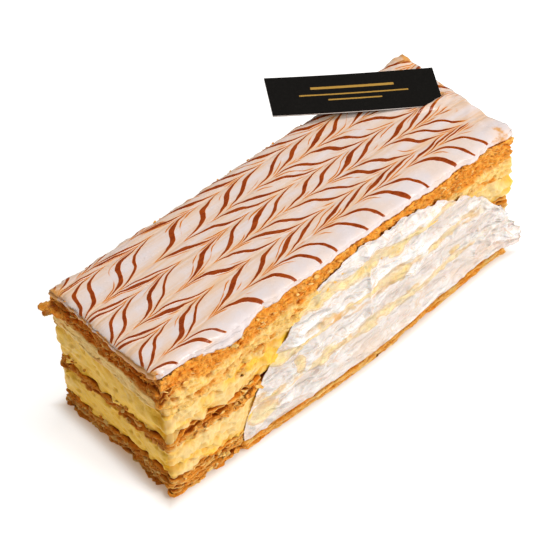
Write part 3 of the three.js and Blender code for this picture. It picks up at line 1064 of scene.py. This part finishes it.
def icing_mesh(shape):
    mesh = box_mesh("icing_slab", (300, 104, 6))
    unit = corners_of(mesh)
    on_end = np.abs(unit[:, 0]) > 0.999
    on_side = np.abs(unit[:, 1]) > 0.999
    rim = on_end | on_side
    level = (unit[:, 2] + 1) / 2
    # the flat part is pressed together so that more rows fall near the rim
    x = np.sign(unit[:, 0]) * (1 - (1 - np.abs(unit[:, 0])) ** 1.12) * HALF_LENGTH
    y = np.sign(unit[:, 1]) * (1 - (1 - np.abs(unit[:, 1])) ** 1.2) * HALF_WIDTH
    near = smooth(-30, -55, x)
    flat = np.stack([x, y, np.zeros_like(x)], axis=1)

    def vary(size, seed):
        return uneven(flat, size, seed)

    # wobble of the outline, fading out inwards
    edge_x = HALF_LENGTH - np.abs(x)
    edge_y = HALF_WIDTH - np.abs(y)
    wobble = 0.45 * vary(5.5, 41) + 0.28 * vary(1.9, 42) + 0.16 * vary(0.9, 52)
    far_end = smooth(HALF_LENGTH - 12, HALF_LENGTH, x)
    wobble = wobble + far_end * 0.5 * vary(3.0, 53)
    drip = bump(x, NEAR_X + 24.3, 5.0) + 0.45 * bump(x, NEAR_X + 17.5, 4.0)
    drip = drip + 0.28 * bump(x, NEAR_X + 38, 4.0)
    back_corner = np.exp(-np.hypot(HALF_LENGTH - x, HALF_WIDTH - y) / 7)
    front_corner = np.exp(-np.hypot(HALF_LENGTH - x, HALF_WIDTH + y) / 7)
    near_front = np.exp(-np.hypot(x - NEAR_X, y - FRONT_Y) / 3.5)
    out_x = wobble + 0.9 - 0.7 * near + 0.8 * back_corner + 0.4 * front_corner - 1.5 * near_front
    out_x = out_x * np.exp(-edge_x / 3)
    out_y = wobble - 0.45 - 0.5 * (y < 0) + 1.0 * drip * (y < 0)
    out_y = out_y + 1.1 * back_corner + 0.7 * front_corner - 1.8 * near_front
    out_y = out_y * np.exp(-edge_y / 2.5)
    rounding = 0.9 * (1 - np.sqrt(np.clip(1 - level**2, 0, 1)))
    out_x -= np.where(on_end, rounding, 0)
    out_y -= np.where(on_side, rounding, 0)
    x_out = x + np.sign(x) * out_x
    y_out = y + np.sign(y) * out_y
    # upper surface: gentle lumps, a soft shoulder at the rim, worn thin at the far back corner
    nearest = np.minimum(edge_x, edge_y)
    top = ICING_TOP + 0.16 * vary(13, 43) + 0.07 * vary(4.5, 44)
    top = top - (0.75 + 0.5 * near * (edge_x < 4)) * np.exp(-nearest / 1.1)
    far_lumps = 0.3 * vary(3.4, 55) + 0.14 * vary(1.4, 56)
    top = top + smooth(HALF_LENGTH - 9, HALF_LENGTH - 2, x) * far_lumps + 0.8 * back_corner
    top = top - 0.5 * bump(x, NEAR_X + 19, 12) * np.exp(-(HALF_WIDTH + y) / 3.5)
    corner = smooth(34, 4, np.hypot(HALF_LENGTH - x, 1.6 * (HALF_WIDTH - y)))
    top = top + corner * (0.35 * vary(3.2, 45) + 0.18 * vary(1.3, 46) - 0.1)
    # the card lies on the icing and has pushed its near corner into it
    card_low, inside, over_corner = under_card(x, y)
    pressed = np.minimum(top, card_low - 0.05)
    top = top + (pressed - top) * smooth(-0.9, 0.3, inside)
    # a little icing has run over the card's corner nearest the front
    lump = smooth(-0.05, 0.3, over_corner) * smooth(-2.6, -0.6, inside)
    top = top + (card_low + CARD_THICKNESS + 0.45 + 0.25 * vary(1.5, 51) - top) * lump
    # underside and hanging lower edge
    low = joint_surface("top", x, y)
    hang = 0.1 + 0.3 * vary(3.6, 47) + 0.25 * vary(1.4, 48) + 0.3 * vary(0.8, 54)
    hang = hang - 0.5 * near * on_end
    hang = hang + np.where(y < 0, shape.drip_depth * drip, 0) * on_side
    lower = np.where(rim, low - np.maximum(hang, 0.02), low)
    lower = np.minimum(lower, top - 0.08)
    z = lower + level * (top - lower)
    set_corners(mesh, np.stack([x_out, y_out, z], axis=1))
    worn = corner * 0.5 * smooth(-0.2, 0.6, vary(3.2, 49))
    rim_worn = 1.0 * near * np.exp(-edge_x / 0.5) * (x < 0) + 0.12 * np.exp(-edge_y / 0.5)
    rim_worn = rim_worn + 0.7 * far_end * smooth(0.1, 0.7, vary(2.6, 57))
    rim_worn = rim_worn + 0.5 * smooth(5, 1, np.hypot(x - NEAR_X, y - FRONT_Y))
    rim_worn = rim_worn + 0.6 * smooth(7, 2, np.hypot(x - NEAR_X, y - HALF_WIDTH))
    paint(mesh, "thin", np.clip(worn + rim_worn * (0.75 + 0.5 * vary(1.5, 50)), 0, 1))
    close_up(mesh)
    return mesh


# ---------------------------------------------------------------- pastry and cream materials


def crumb_group():
    """Fine crumb colour variation and pores for baked pastry."""
    tree, w, given, out = new_group(
        "baked_crumb",
        [("Place", "NodeSocketVector")],
        [("Speckle", "NodeSocketFloat"), ("Pores", "NodeSocketFloat"), ("Height", "NodeSocketFloat")],
    )
    layered = w.stretched(given["Place"], (0.8, 0.8, 2.2))
    speckle = w.noise(layered, 0.8, 5.0, 0.62)
    pores = w.range(w.cells(layered, 1.25), 0.34, 0.12)
    fine = w.noise(given["Place"], 2.6, 4.0, 0.6)
    w.put(out["Speckle"], speckle)
    w.put(out["Pores"], pores)
    w.put(out["Height"], w.minus(fine, w.times(pores, 0.8)))
    return tree


def pastry_material(name, colours, crumb):
    material, w, shader, place = new_material(name, {
        "Subsurface Weight": 0.1,
        "Subsurface Scale": 0.0006,
        "Subsurface Radius": (1.0, 0.45, 0.15),
        "Specular IOR Level": 0.12,
    })
    marks = use_group(w, crumb, Place=place)
    bake = w.attribute("bake")
    depth = w.attribute("depth")
    crust = colours.crust
    toasted = w.mix(w.range(marks["Speckle"], 0.4, 0.66), crust, (0.90, 0.43, 0.07))
    toasted = w.mix(w.range(marks["Speckle"], 0.4, 0.25), toasted, (0.46, 0.11, 0.007))
    pale = w.mix(w.range(marks["Speckle"], 0.38, 0.6), colours.dough, (0.87, 0.62, 0.24))
    surface = w.mix(w.range(bake, 0.12, 0.55), pale, toasted)
    surface = w.mix(w.range(bake, 0.68, 1.0, 0.0, 0.6), surface, (0.42, 0.10, 0.007))
    # gaps, hollows and the core get a darker colour through their depth: partly the browner pastry inside,
    # partly painted shade
    gap_shade_colour = w.mix(w.range(bake, 0.1, 0.5), (0.50, 0.19, 0.015), (0.34, 0.065, 0.002))
    surface = w.mix(w.range(depth, 0.2, 0.95), surface, gap_shade_colour)
    # the pores are painted dark: painted shade inside the small holes
    pores = w.times(marks["Pores"], w.range(bake, 0.2, 0.5, 0.08, 0.4))
    surface = w.mix(pores, surface, (0.30, 0.075, 0.008))
    w.put(shader.inputs["Base Color"], surface)
    w.put(shader.inputs["Normal"], w.bump(marks["Height"], 0.00025, 0.7))
    w.put(shader.inputs["Roughness"], w.range(marks["Speckle"], 0.3, 0.7, 0.38, 0.62))
    return material


def cream_material(colours):
    material, w, shader, place = new_material("custard_cream", {
        "Subsurface Weight": 0.15,
        "Subsurface Scale": 0.001,
        "Subsurface Radius": (1.0, 0.62, 0.22),
        "Specular IOR Level": 0.3,
    })
    tint = w.attribute("tint")
    cloud = w.noise(place, 0.3, 4.0)
    pale = w.range(w.plus(tint, w.minus(cloud, 0.5)), 0.2, 0.85)
    base = w.mix(pale, colours.cream, (0.85, 0.62, 0.26))
    # hollows and pits are painted a deeper orange through their depth: painted shade
    base = w.mix(w.times(w.attribute("depth"), 0.7), base, (0.80, 0.40, 0.03))
    specks = w.range(w.noise(place, 1.4, 5.0, 0.65), 0.64, 0.72)
    base = w.mix(w.times(specks, 0.4), base, (0.78, 0.42, 0.10))
    w.put(shader.inputs["Base Color"], base)
    slanted = w.node("ShaderNodeMapping")
    w.put(slanted.inputs["Vector"], place)
    slanted.inputs["Rotation"].default_value = (0.5, 0.6, 0.0)
    slanted.inputs["Scale"].default_value = (0.3, 0.3, 1.6)
    height = w.plus(w.noise(slanted.outputs[0], 1.0, 4.0), w.noise(place, 1.8, 4.0))
    w.put(shader.inputs["Normal"], w.bump(height, 0.0003, 0.6))
    w.put(shader.inputs["Roughness"], w.range(cloud, 0.3, 0.7, 0.32, 0.5))
    return material


# ---------------------------------------------------------------- paper


def paper_top(x):
    """Upper outline of the paper: it climbs, rounds over and falls to its free end."""
    peak = PAPER_LOW[0] + 46
    share = np.where(x < peak, (peak - x) / (peak - PAPER_LOW[0]), (x - peak) / (PAPER_HIGH[0] - peak))
    share = np.clip(share, 0, 1)
    crown = np.where(x < peak, (1 - share**2.1) ** 0.8, (1 - share**3) ** 0.9)
    foot = PAPER_LOW[2]
    return foot + 2.6 + (PAPER_HIGH[2] - foot - 2.6) * crown


def ridged(places, size, seed):
    """Sharp folds between soft valleys, from 0 to 1."""
    return 1 - np.abs(uneven(places, size, seed)) * 1.6


def paper_mesh(shape):
    mesh = grid_mesh("baking_paper", 350, 125)
    unit = corners_of(mesh)
    span = PAPER_HIGH[0] - PAPER_LOW[0]
    along = 0.5 - 0.5 * np.cos(np.pi * unit[:, 0])
    x = PAPER_LOW[0] + span * (0.35 * along + 0.65 * unit[:, 0])
    foot = PAPER_LOW[2] + 0.2
    flat = np.stack([x, np.zeros_like(x), np.zeros_like(x)], axis=1)
    free = smooth(22, 60, x)
    top = paper_top(x) + 0.5 * uneven(flat, 3.0, 60) + 0.35 * uneven(flat, 1.2, 61)
    top = top - free * 1.0 * np.abs(uneven(flat, 1.8, 62))
    z = foot + unit[:, 1] * np.maximum(top - foot, 0.6)
    # the end beyond the slice is torn
    upright = np.stack([0 * z, 0 * z, z], axis=1)
    x = x - free * smooth(HALF_LENGTH - 4, PAPER_HIGH[0], x) * 1.2 * (1 + uneven(upright, 1.6, 68))
    at = np.stack([x, 0 * x, z], axis=1)
    sloped = np.stack([x + 0.35 * z, 0 * x, z - 0.06 * x], axis=1)
    long_folds = ridged(sloped, (26, 1, 6.0), 63)
    folds = ridged(sloped, (12, 1, 3.3), 64)
    crinkles = ridged(at, (2.6, 1, 2.0), 69)
    fine = ridged(at, (1.2, 1, 1.0), 70)
    slanted = np.stack([0.5 * x - z, 0 * x, 0.5 * x + 0.4 * z], axis=1)
    fan = ridged(slanted, (4.0, 1, 16.0), 65)
    left = smooth(2, -16, x) * smooth(27, 17, z)
    crease = (1 - left) * (0.95 * long_folds + 0.7 * folds) + left * (1.35 * fan + 0.35 * folds)
    facets = cells(sloped, (12, 1, 4.6), 71, 1)
    small_facets = cells(at, (3.0, 1, 1.9), 72, 1)
    crease = crease + 0.9 * (facets - 0.8) + 0.34 * (small_facets - 0.8)
    crease = crease + 0.2 * crinkles + 0.06 * fine - 1.15
    crumpled = 0.6 * ridged(at, (3.2, 1, 2.4), 66) + 0.3 * ridged(at, (1.5, 1, 1.2), 67)
    crease = crease + free * (crumpled + 0.5 * cells(at, (2.6, 1, 2.0), 73, 1) - 0.85)
    slope = paper_top(x + 0.5) - paper_top(x - 0.5)
    near_top = smooth(4.0, 0.0, (top - z) / np.hypot(1, slope)) * (1 - free)
    crease = crease * (0.5 + 0.5 * smooth(3.0, 10.0, z)) * (1 - 0.6 * near_top)
    pleat = 0.55 * bump(x, PAPER_LOW[0] + 45.5, 0.5) * smooth(12, 20, z)
    off = 0.4 + 0.5 * smooth(3, 9, z) - 1.2 * near_top
    y = FRONT_Y - foot_spread(x, z) - off - shape.paper_crease * 1.15 * crease - pleat
    past = smooth(HALF_LENGTH - 10, PAPER_HIGH[0], x)
    y = y - 2.0 * past * past
    y = np.clip(y, PAPER_LOW[1] - 0.6, FRONT_Y - foot_spread(x, z) - 0.2 + 0.75 * near_top)
    set_corners(mesh, np.stack([x, y, z], axis=1))
    paint(mesh, "crease", crease)
    close_up(mesh, thickness=PAPER_THICKNESS)
    return mesh


# Where something behind the paper shows through: distance along, height, the two half sizes, strength.
ORANGE_STAINS = (
    (-5.0, 26.0, 2.2, 2.0, 0.9),
    (-3.2, 27.6, 1.6, 1.2, 0.6),
    (-12.0, 19.5, 2.0, 2.2, 0.45),
    (14.0, 24.0, 7.0, 0.8, 0.55),
    (3.0, 23.4, 5.0, 0.7, 0.5),
    (-30.0, 12.0, 2.6, 1.4, 0.5),
    (30.0, 12.0, 1.0, 2.0, 0.35),
    (40.5, 17.0, 1.0, 1.0, 0.6),
)
YELLOW_STAINS = (
    (-18.0, 18.5, 1.8, 3.0, 0.8),
    (-31.0, 9.5, 5.0, 3.2, 0.8),
    (-9.0, 17.0, 4.0, 1.8, 0.8),
    (41.5, 17.5, 2.2, 1.2, 0.9),
)


# Where the cream touches the paper from behind: lower and upper height, strength.
CREAM_BANDS = ((34.6, 37.8, 1.0), (24.4, 27.6, 1.0), (13.2, 16.0, 0.9))


def stains(w, x, z, wobble, marks):
    """How strongly the stains show at each place."""
    total = 0.0
    for centre_x, centre_z, half_x, half_z, strength in marks:
        across = w.math("DIVIDE", w.minus(x, centre_x), half_x)
        up = w.math("DIVIDE", w.minus(z, centre_z), half_z)
        far = w.plus(w.times(across, across), w.times(up, up))
        far = w.times_plus(wobble, 1.6, far)
        total = w.most(total, w.times(w.range(far, 1.5, 0.3), strength))
    return total


def paper_material(colours):
    """White paper with the cream and pastry behind it showing through where they touch."""
    material, w, shader, place = new_material("waxed_paper", {
        "Subsurface Weight": 0.08,
        "Subsurface Scale": 0.0008,
        "Specular IOR Level": 0.4,
    })
    x, _, z = w.split(place)
    wave = w.minus(w.noise(place, (0.11, 0.11, 0.2), 2.0), 0.5)
    height = w.times_plus(wave, 7.5, z)
    rag = w.minus(w.noise(place, (0.16, 0.16, 0.4), 3.0, 0.55), 0.5)
    height = w.times_plus(rag, 2.4, height)
    fade_far = w.range(x, 56.0, 36.0)
    touch = 0.0
    for low, high, amount in CREAM_BANDS:
        band = w.times(w.range(height, low - 0.7, low + 0.7), w.range(height, high + 1.2, high - 1.4))
        touch = w.most(touch, w.times(band, amount))
    touch = w.times(touch, w.times_plus(fade_far, 0.85, 0.15))
    crease = w.attribute("crease")
    patches = w.range(w.noise(place, 0.18, 4.0), 0.25, 0.5, 0.45, 1.0)
    touch = w.times(w.times(touch, patches), w.range(crease, 0.5, -0.3, 0.35, 1.0))
    touch = w.most(touch, stains(w, x, z, rag, YELLOW_STAINS))
    depth = w.range(w.noise(place, 0.7, 4.0), 0.3, 0.7)
    yellow = w.mix(depth, (0.92, 0.75, 0.37), (0.86, 0.57, 0.20))
    cool = w.range(w.noise(place, 0.25, 4.0), 0.35, 0.68)
    lilac = w.mix(cool, colours.paper, (0.75, 0.655, 0.62))
    surface = w.mix(touch, lilac, yellow)
    brim = w.range(w.apart(touch, 0.42), 0.26, 0.0, 0.0, 0.7)
    surface = w.mix(brim, surface, (0.74, 0.43, 0.16))
    surface = w.mix(stains(w, x, z, rag, ORANGE_STAINS), surface, (0.74, 0.38, 0.11))
    blush = w.times(w.range(height, 14.0, 6.0), w.range(w.noise(place, 0.11, 3.0), 0.42, 0.65))
    surface = w.mix(w.times(blush, 0.55), surface, (0.78, 0.57, 0.44))
    # painted shade darkens the low creases and a painted highlight whitens the raised ridges
    surface = w.mix(w.range(crease, -0.3, -0.9, 0.0, 0.4), surface, (0.58, 0.44, 0.36))
    surface = w.mix(w.range(crease, 0.1, 0.6, 0.0, 0.8), surface, (0.93, 0.90, 0.89))
    thread = w.apart(w.noise(place, (0.22, 0.22, 0.5), 3.0), 0.5)
    surface = w.mix(w.range(thread, 0.014, 0.0, 0.0, 0.65), surface, (0.66, 0.40, 0.20))
    sharp = w.edges(place, (0.09, 0.09, 0.24))
    medium = w.edges(place, (0.21, 0.21, 0.46))
    broken = w.range(w.noise(place, 0.2, 2.0), 0.45, 0.6)
    # the sharp folds are painted as thin darker lines: painted shade along the folds
    lines = w.times(w.range(sharp, 0.035, 0.0, 0.0, 0.75), broken)
    surface = w.mix(lines, surface, (0.70, 0.49, 0.34))
    w.put(shader.inputs["Base Color"], surface)
    fibres = w.noise(place, 3.5, 4.0)
    crinkle = w.apart(w.noise(place, (0.45, 0.45, 0.9), 2.0), 0.5)
    fold = w.apart(w.noise(place, (0.1, 0.1, 0.42), 1.0), 0.5)
    relief = w.times_plus(fold, -9.0, w.times_plus(crinkle, -2.4, w.times(fibres, 0.2)))
    relief = w.times_plus(w.range(sharp, 0.0, 0.25), -4.5, relief)
    relief = w.times_plus(w.range(medium, 0.0, 0.22), -1.2, relief)
    w.put(shader.inputs["Normal"], w.bump(relief, 0.00014, 1.0))
    w.put(shader.inputs["Roughness"], w.range(fibres, 0.3, 0.7, 0.28, 0.46))
    return material


# ---------------------------------------------------------------- card


def card_mesh():
    """A thin card in its own plane, with card coordinates stored as a UV map."""
    centre, long_way, short_way, up = card_frame()
    mesh = box_mesh("label_card_face", (48, 15, 2))
    unit = corners_of(mesh)
    bow = 0.35 * (unit[:, 0] ** 2 - 0.5)
    flat = np.stack([unit[:, 0] * CARD_LENGTH / 2, unit[:, 1] * CARD_WIDTH / 2], axis=1)
    thick = unit[:, 2] * CARD_THICKNESS / 2 + bow
    places = centre + flat[:, :1] * long_way + flat[:, 1:] * short_way + thick[:, None] * up
    uv = mesh.uv_layers.new(name="card")
    loops = np.empty(len(mesh.loops), dtype=np.int64)
    mesh.loops.foreach_get("vertex_index", loops)
    uv.data.foreach_set("uv", (flat[loops] / CARD_WIDTH).astype(np.float32).ravel())
    paint(mesh, "side", (np.abs(unit[:, 2]) < 0.9).astype(float))
    set_corners(mesh, places)
    return mesh


# The printed rules: place across the card, half length and half width, in card widths.
CARD_RULES = ((0.16, 0.78, 0.028), (-0.02, 1.02, 0.014), (-0.16, 0.5, 0.014))
RULE_EDGE = 0.006


def card_material(colours):
    """Black faces, a white core at the cut edges and plain printed rules."""
    material, w, shader, place = new_material("printed_card", {"Specular IOR Level": 0.08})
    along, across, _ = w.split(w.node("ShaderNodeUVMap", uv_map="card").outputs[0])
    lengthways = w.math("ABSOLUTE", along)
    rule = 0.0
    for centre, half_long, half_wide in CARD_RULES:
        band = w.range(w.apart(across, centre), half_wide + RULE_EDGE, half_wide)
        rule = w.most(rule, w.times(band, w.range(lengthways, half_long + RULE_EDGE, half_long)))
    fibre = w.noise(place, 2.5, 4.0)
    face = w.mix(w.range(fibre, 0.4, 0.75), colours.card, (0.009, 0.008, 0.007))
    face = w.mix(rule, face, colours.gilt)
    surface = w.mix(w.range(w.attribute("side"), 0.4, 0.6), face, (0.82, 0.80, 0.79))
    w.put(shader.inputs["Base Color"], surface)
    w.put(shader.inputs["Normal"], w.bump(fibre, 0.00003))
    w.put(shader.inputs["Roughness"], w.range(fibre, 0.3, 0.7, 0.38, 0.5))
    return material


# ---------------------------------------------------------------- operators


class SliceOperator(bpy.types.Operator):
    """Shared base that finds the settings."""

    bl_idname = "slice.base"
    bl_label = "Slice piece"
    bl_options = {"REGISTER", "UNDO"}

    @property
    def shape(self):
        return bpy.context.scene.slice_shape

    @property
    def colours(self):
        return bpy.context.scene.slice_colours


class SLICE_OT_pastry(SliceOperator):
    """Builds the three flaky pastry layers and the loose leaves at their sides"""

    bl_idname = "slice.pastry"
    bl_label = "Pastry"

    def execute(self, context):
        crumb = crumb_group()
        seed = self.shape.seed
        material = pastry_material("flaky_pastry", self.colours, crumb)
        for name, floor, ceiling, leaves, layer_seed in (
            ("pastry_bottom", flat_base, joint("bottom"), 9, seed),
            ("pastry_middle", joint("lower"), joint("middle"), 5, seed + 30),
        ):
            core = wall_layer(name + "_core", floor, ceiling, 0.6, 0.5, core_relief(layer_seed), inset=2.3)
            finish_piece(core, material, [name])
            rings = leaf_rings(name + "_leaves", floor, ceiling, leaves, self.shape, layer_seed)
            finish_piece(rings, material)
        relief = top_pastry_relief(self.shape, seed + 60)
        top = wall_layer("pastry_top_crust", joint("upper"), joint("top"), 0.32, 0.25, relief, inset=0.7)
        finish_piece(top, material, ["pastry_top"])
        rings = leaf_rings(
            "pastry_top_leaves", under_crust, joint("top"), 8, self.shape, seed + 90, front_shift=-0.8
        )
        finish_piece(rings, material)
        window = (NEAR_X + 24, NEAR_X + 40)
        low, high = sloping(28.3), sloping(31.0)
        ledge = leaf_rings("ledge_leaves", low, high, 4, self.shape, seed + 130, inset=0.4, window=window)
        finish_piece(ledge, material)
        finish_piece(flake_mesh("large_flakes", placed_flakes(), seed), material)
        crumbs = scattered_flakes(seed + 1)
        finish_piece(flake_mesh("small_flakes", crumbs, seed + 2), material)
        return {"FINISHED"}


class SLICE_OT_cream(SliceOperator):
    """Builds the two layers of custard cream"""

    bl_idname = "slice.cream"
    bl_label = "Cream"

    def execute(self, context):
        material = cream_material(self.colours)
        for name, floor, ceiling, node, seed in (
            ("cream_lower_layer", "bottom", "lower", "cream_lower", 100),
            ("cream_upper_layer", "middle", "upper", "cream_upper", 120),
        ):
            relief = cream_relief(self.shape, seed)
            mesh = wall_layer(name, joint(floor), joint(ceiling), 0.4, 0.3, relief, inset=0.7)
            finish_piece(mesh, material, [node])
        return {"FINISHED"}


class SLICE_OT_icing(SliceOperator):
    """Builds the icing with its dragged lines"""

    bl_idname = "slice.icing"
    bl_label = "Feathered icing"

    def execute(self, context):
        material = icing_material(self.colours, context.scene.slice_feather)
        finish_piece(icing_mesh(self.shape), material, ["icing"])
        return {"FINISHED"}


class SLICE_OT_paper(SliceOperator):
    """Builds the strip of baking paper on the front side"""

    bl_idname = "slice.paper"
    bl_label = "Baking paper"

    def execute(self, context):
        finish_piece(paper_mesh(self.shape), paper_material(self.colours), ["paper_strip"])
        return {"FINISHED"}


class SLICE_OT_card(SliceOperator):
    """Builds the plain card that lies on the icing"""

    bl_idname = "slice.card"
    bl_label = "Card"

    def execute(self, context):
        finish_piece(card_mesh(), card_material(self.colours), ["label_card"], flat=True)
        return {"FINISHED"}


class SLICE_OT_stage(SliceOperator):
    """Lays the pale floor and sets the soft light and the camera"""

    bl_idname = "slice.stage"
    bl_label = "Stage"

    def execute(self, context):
        build_floor()
        build_light()
        build_camera()
        return {"FINISHED"}


# ---------------------------------------------------------------- stage

FLOOR_SIZE = 4.0
CAMERA_PLACE = (-0.2326, -0.2644, 0.4105)
CAMERA_HEADING = math.radians(49.13)
CAMERA_DIP = math.radians(48.007)
CAMERA_ROLL = math.radians(-2.362)
CAMERA_LENS = 123.88
SENSOR_WIDTH = 36.0
# name, place, size, power and tint of each lamp
LAMPS = (
    ("key_softbox", (0.45, -0.90, 0.70), 0.5, 11.2, (1.0, 0.985, 0.96)),
    ("overhead_softbox", (0.13, 0.02, 1.2), 0.36, 7.0, (1.0, 0.99, 0.98)),
)
LAMP_AIM = Vector((0, 0, 0.02))


def build_floor():
    bm = bmesh.new()
    bmesh.ops.create_grid(bm, x_segments=4, y_segments=4, size=FLOOR_SIZE / 2)
    bmesh.ops.translate(bm, verts=bm.verts, vec=(0, 0, -0.0002))
    mesh = bpy.data.meshes.new("floor")
    bm.to_mesh(mesh)
    bm.free()
    material, w, shader, place = new_material("pale_floor", {
        "Roughness": 0.9,
        "Specular IOR Level": 0.1,
        "Emission Strength": 0.72,
    })
    grain = w.noise(place, 0.05, 2.0)
    w.put(shader.inputs["Base Color"], w.mix(grain, (0.51, 0.51, 0.51), (0.53, 0.53, 0.53)))
    # the floor glows evenly like a light table, and a painted shadow dims its glow close round the foot of
    # the slice
    split = w.split(place)
    lengthways = w.math("ABSOLUTE", split[0])
    bow = w.times(w.range(split[1], 0.0, -5.0), w.range(lengthways, HALF_LENGTH, 0.0, 0.0, FRONT_BOW))
    past_side = w.minus(w.minus(w.math("ABSOLUTE", split[1]), HALF_WIDTH), bow)
    away = w.most(w.minus(lengthways, HALF_LENGTH), past_side)
    glow_and_painted_shadow = w.mix(w.range(away, -1.0, 5.0), (0.37, 0.26, 0.17), (1.0, 0.985, 0.97))
    w.put(shader.inputs["Emission Color"], glow_and_painted_shadow)
    mesh.materials.append(material)
    floor = bpy.data.objects.new("floor", mesh)
    bpy.context.scene.collection.objects.link(floor)


def build_light():
    world = bpy.data.worlds.new("soft_room")
    world.use_nodes = True
    background = world.node_tree.nodes["Background"]
    background.inputs["Color"].default_value = (1.0, 0.95, 0.88, 1.0)
    background.inputs["Strength"].default_value = 0.21
    bpy.context.scene.world = world
    bpy.context.scene.view_settings.view_transform = "Standard"
    for name, place, size, power, tint in LAMPS:
        lamp = bpy.data.lights.new(name, "AREA")
        lamp.shape = "SQUARE"
        lamp.size = size
        lamp.energy = power
        lamp.color = tint
        holder = bpy.data.objects.new(name, lamp)
        aim = LAMP_AIM - Vector(place)
        holder.matrix_world = Matrix.Translation(place) @ aim.to_track_quat("-Z", "Y").to_matrix().to_4x4()
        bpy.context.scene.collection.objects.link(holder)


def build_camera():
    lens = bpy.data.cameras.new("camera")
    lens.lens = CAMERA_LENS
    lens.sensor_width = SENSOR_WIDTH
    lens.clip_start = 0.01
    ahead = Vector((
        math.cos(CAMERA_HEADING) * math.cos(CAMERA_DIP),
        math.sin(CAMERA_HEADING) * math.cos(CAMERA_DIP),
        -math.sin(CAMERA_DIP),
    ))
    level_right = ahead.cross(Vector((0, 0, 1))).normalized()
    level_up = level_right.cross(ahead)
    right = math.cos(CAMERA_ROLL) * level_right + math.sin(CAMERA_ROLL) * level_up
    up = -math.sin(CAMERA_ROLL) * level_right + math.cos(CAMERA_ROLL) * level_up
    turn = Matrix((right, up, -ahead)).transposed().to_4x4()
    camera = bpy.data.objects.new("camera", lens)
    camera.matrix_world = Matrix.Translation(CAMERA_PLACE) @ turn
    bpy.context.scene.collection.objects.link(camera)
    bpy.context.scene.camera = camera


class SLICE_PT_panel(bpy.types.Panel):
    """Lists the pieces of the slice and its settings"""

    bl_idname = "SLICE_PT_panel"
    bl_label = "Custard slice"
    bl_space_type = "VIEW_3D"
    bl_region_type = "UI"
    bl_category = "Slice"

    def draw(self, context):
        column = self.layout.column()
        for operator in OPERATORS:
            column.operator(operator.bl_idname)
        scene = context.scene
        for settings in (scene.slice_shape, scene.slice_feather, scene.slice_colours):
            box = self.layout.box()
            for name in settings.bl_rna.properties.keys():
                if name not in ("rna_type", "name"):
                    box.prop(settings, name)


SETTINGS = {"slice_shape": SliceShape, "slice_feather": SliceFeather, "slice_colours": SliceColours}
OPERATORS = (SLICE_OT_pastry, SLICE_OT_cream, SLICE_OT_icing, SLICE_OT_paper, SLICE_OT_card, SLICE_OT_stage)


def register():
    for name, settings in SETTINGS.items():
        bpy.utils.register_class(settings)
        setattr(bpy.types.Scene, name, bpy.props.PointerProperty(type=settings))
    for operator in OPERATORS:
        bpy.utils.register_class(operator)
    bpy.utils.register_class(SLICE_PT_panel)


def unregister():
    bpy.utils.unregister_class(SLICE_PT_panel)
    for operator in reversed(OPERATORS):
        bpy.utils.unregister_class(operator)
    for name, settings in SETTINGS.items():
        delattr(bpy.types.Scene, name)
        bpy.utils.unregister_class(settings)


def main():
    register()
    bpy.ops.slice.pastry()
    bpy.ops.slice.cream()
    bpy.ops.slice.icing()
    bpy.ops.slice.paper()
    bpy.ops.slice.card()
    bpy.ops.slice.stage()


if __name__ == "__main__":
    main()
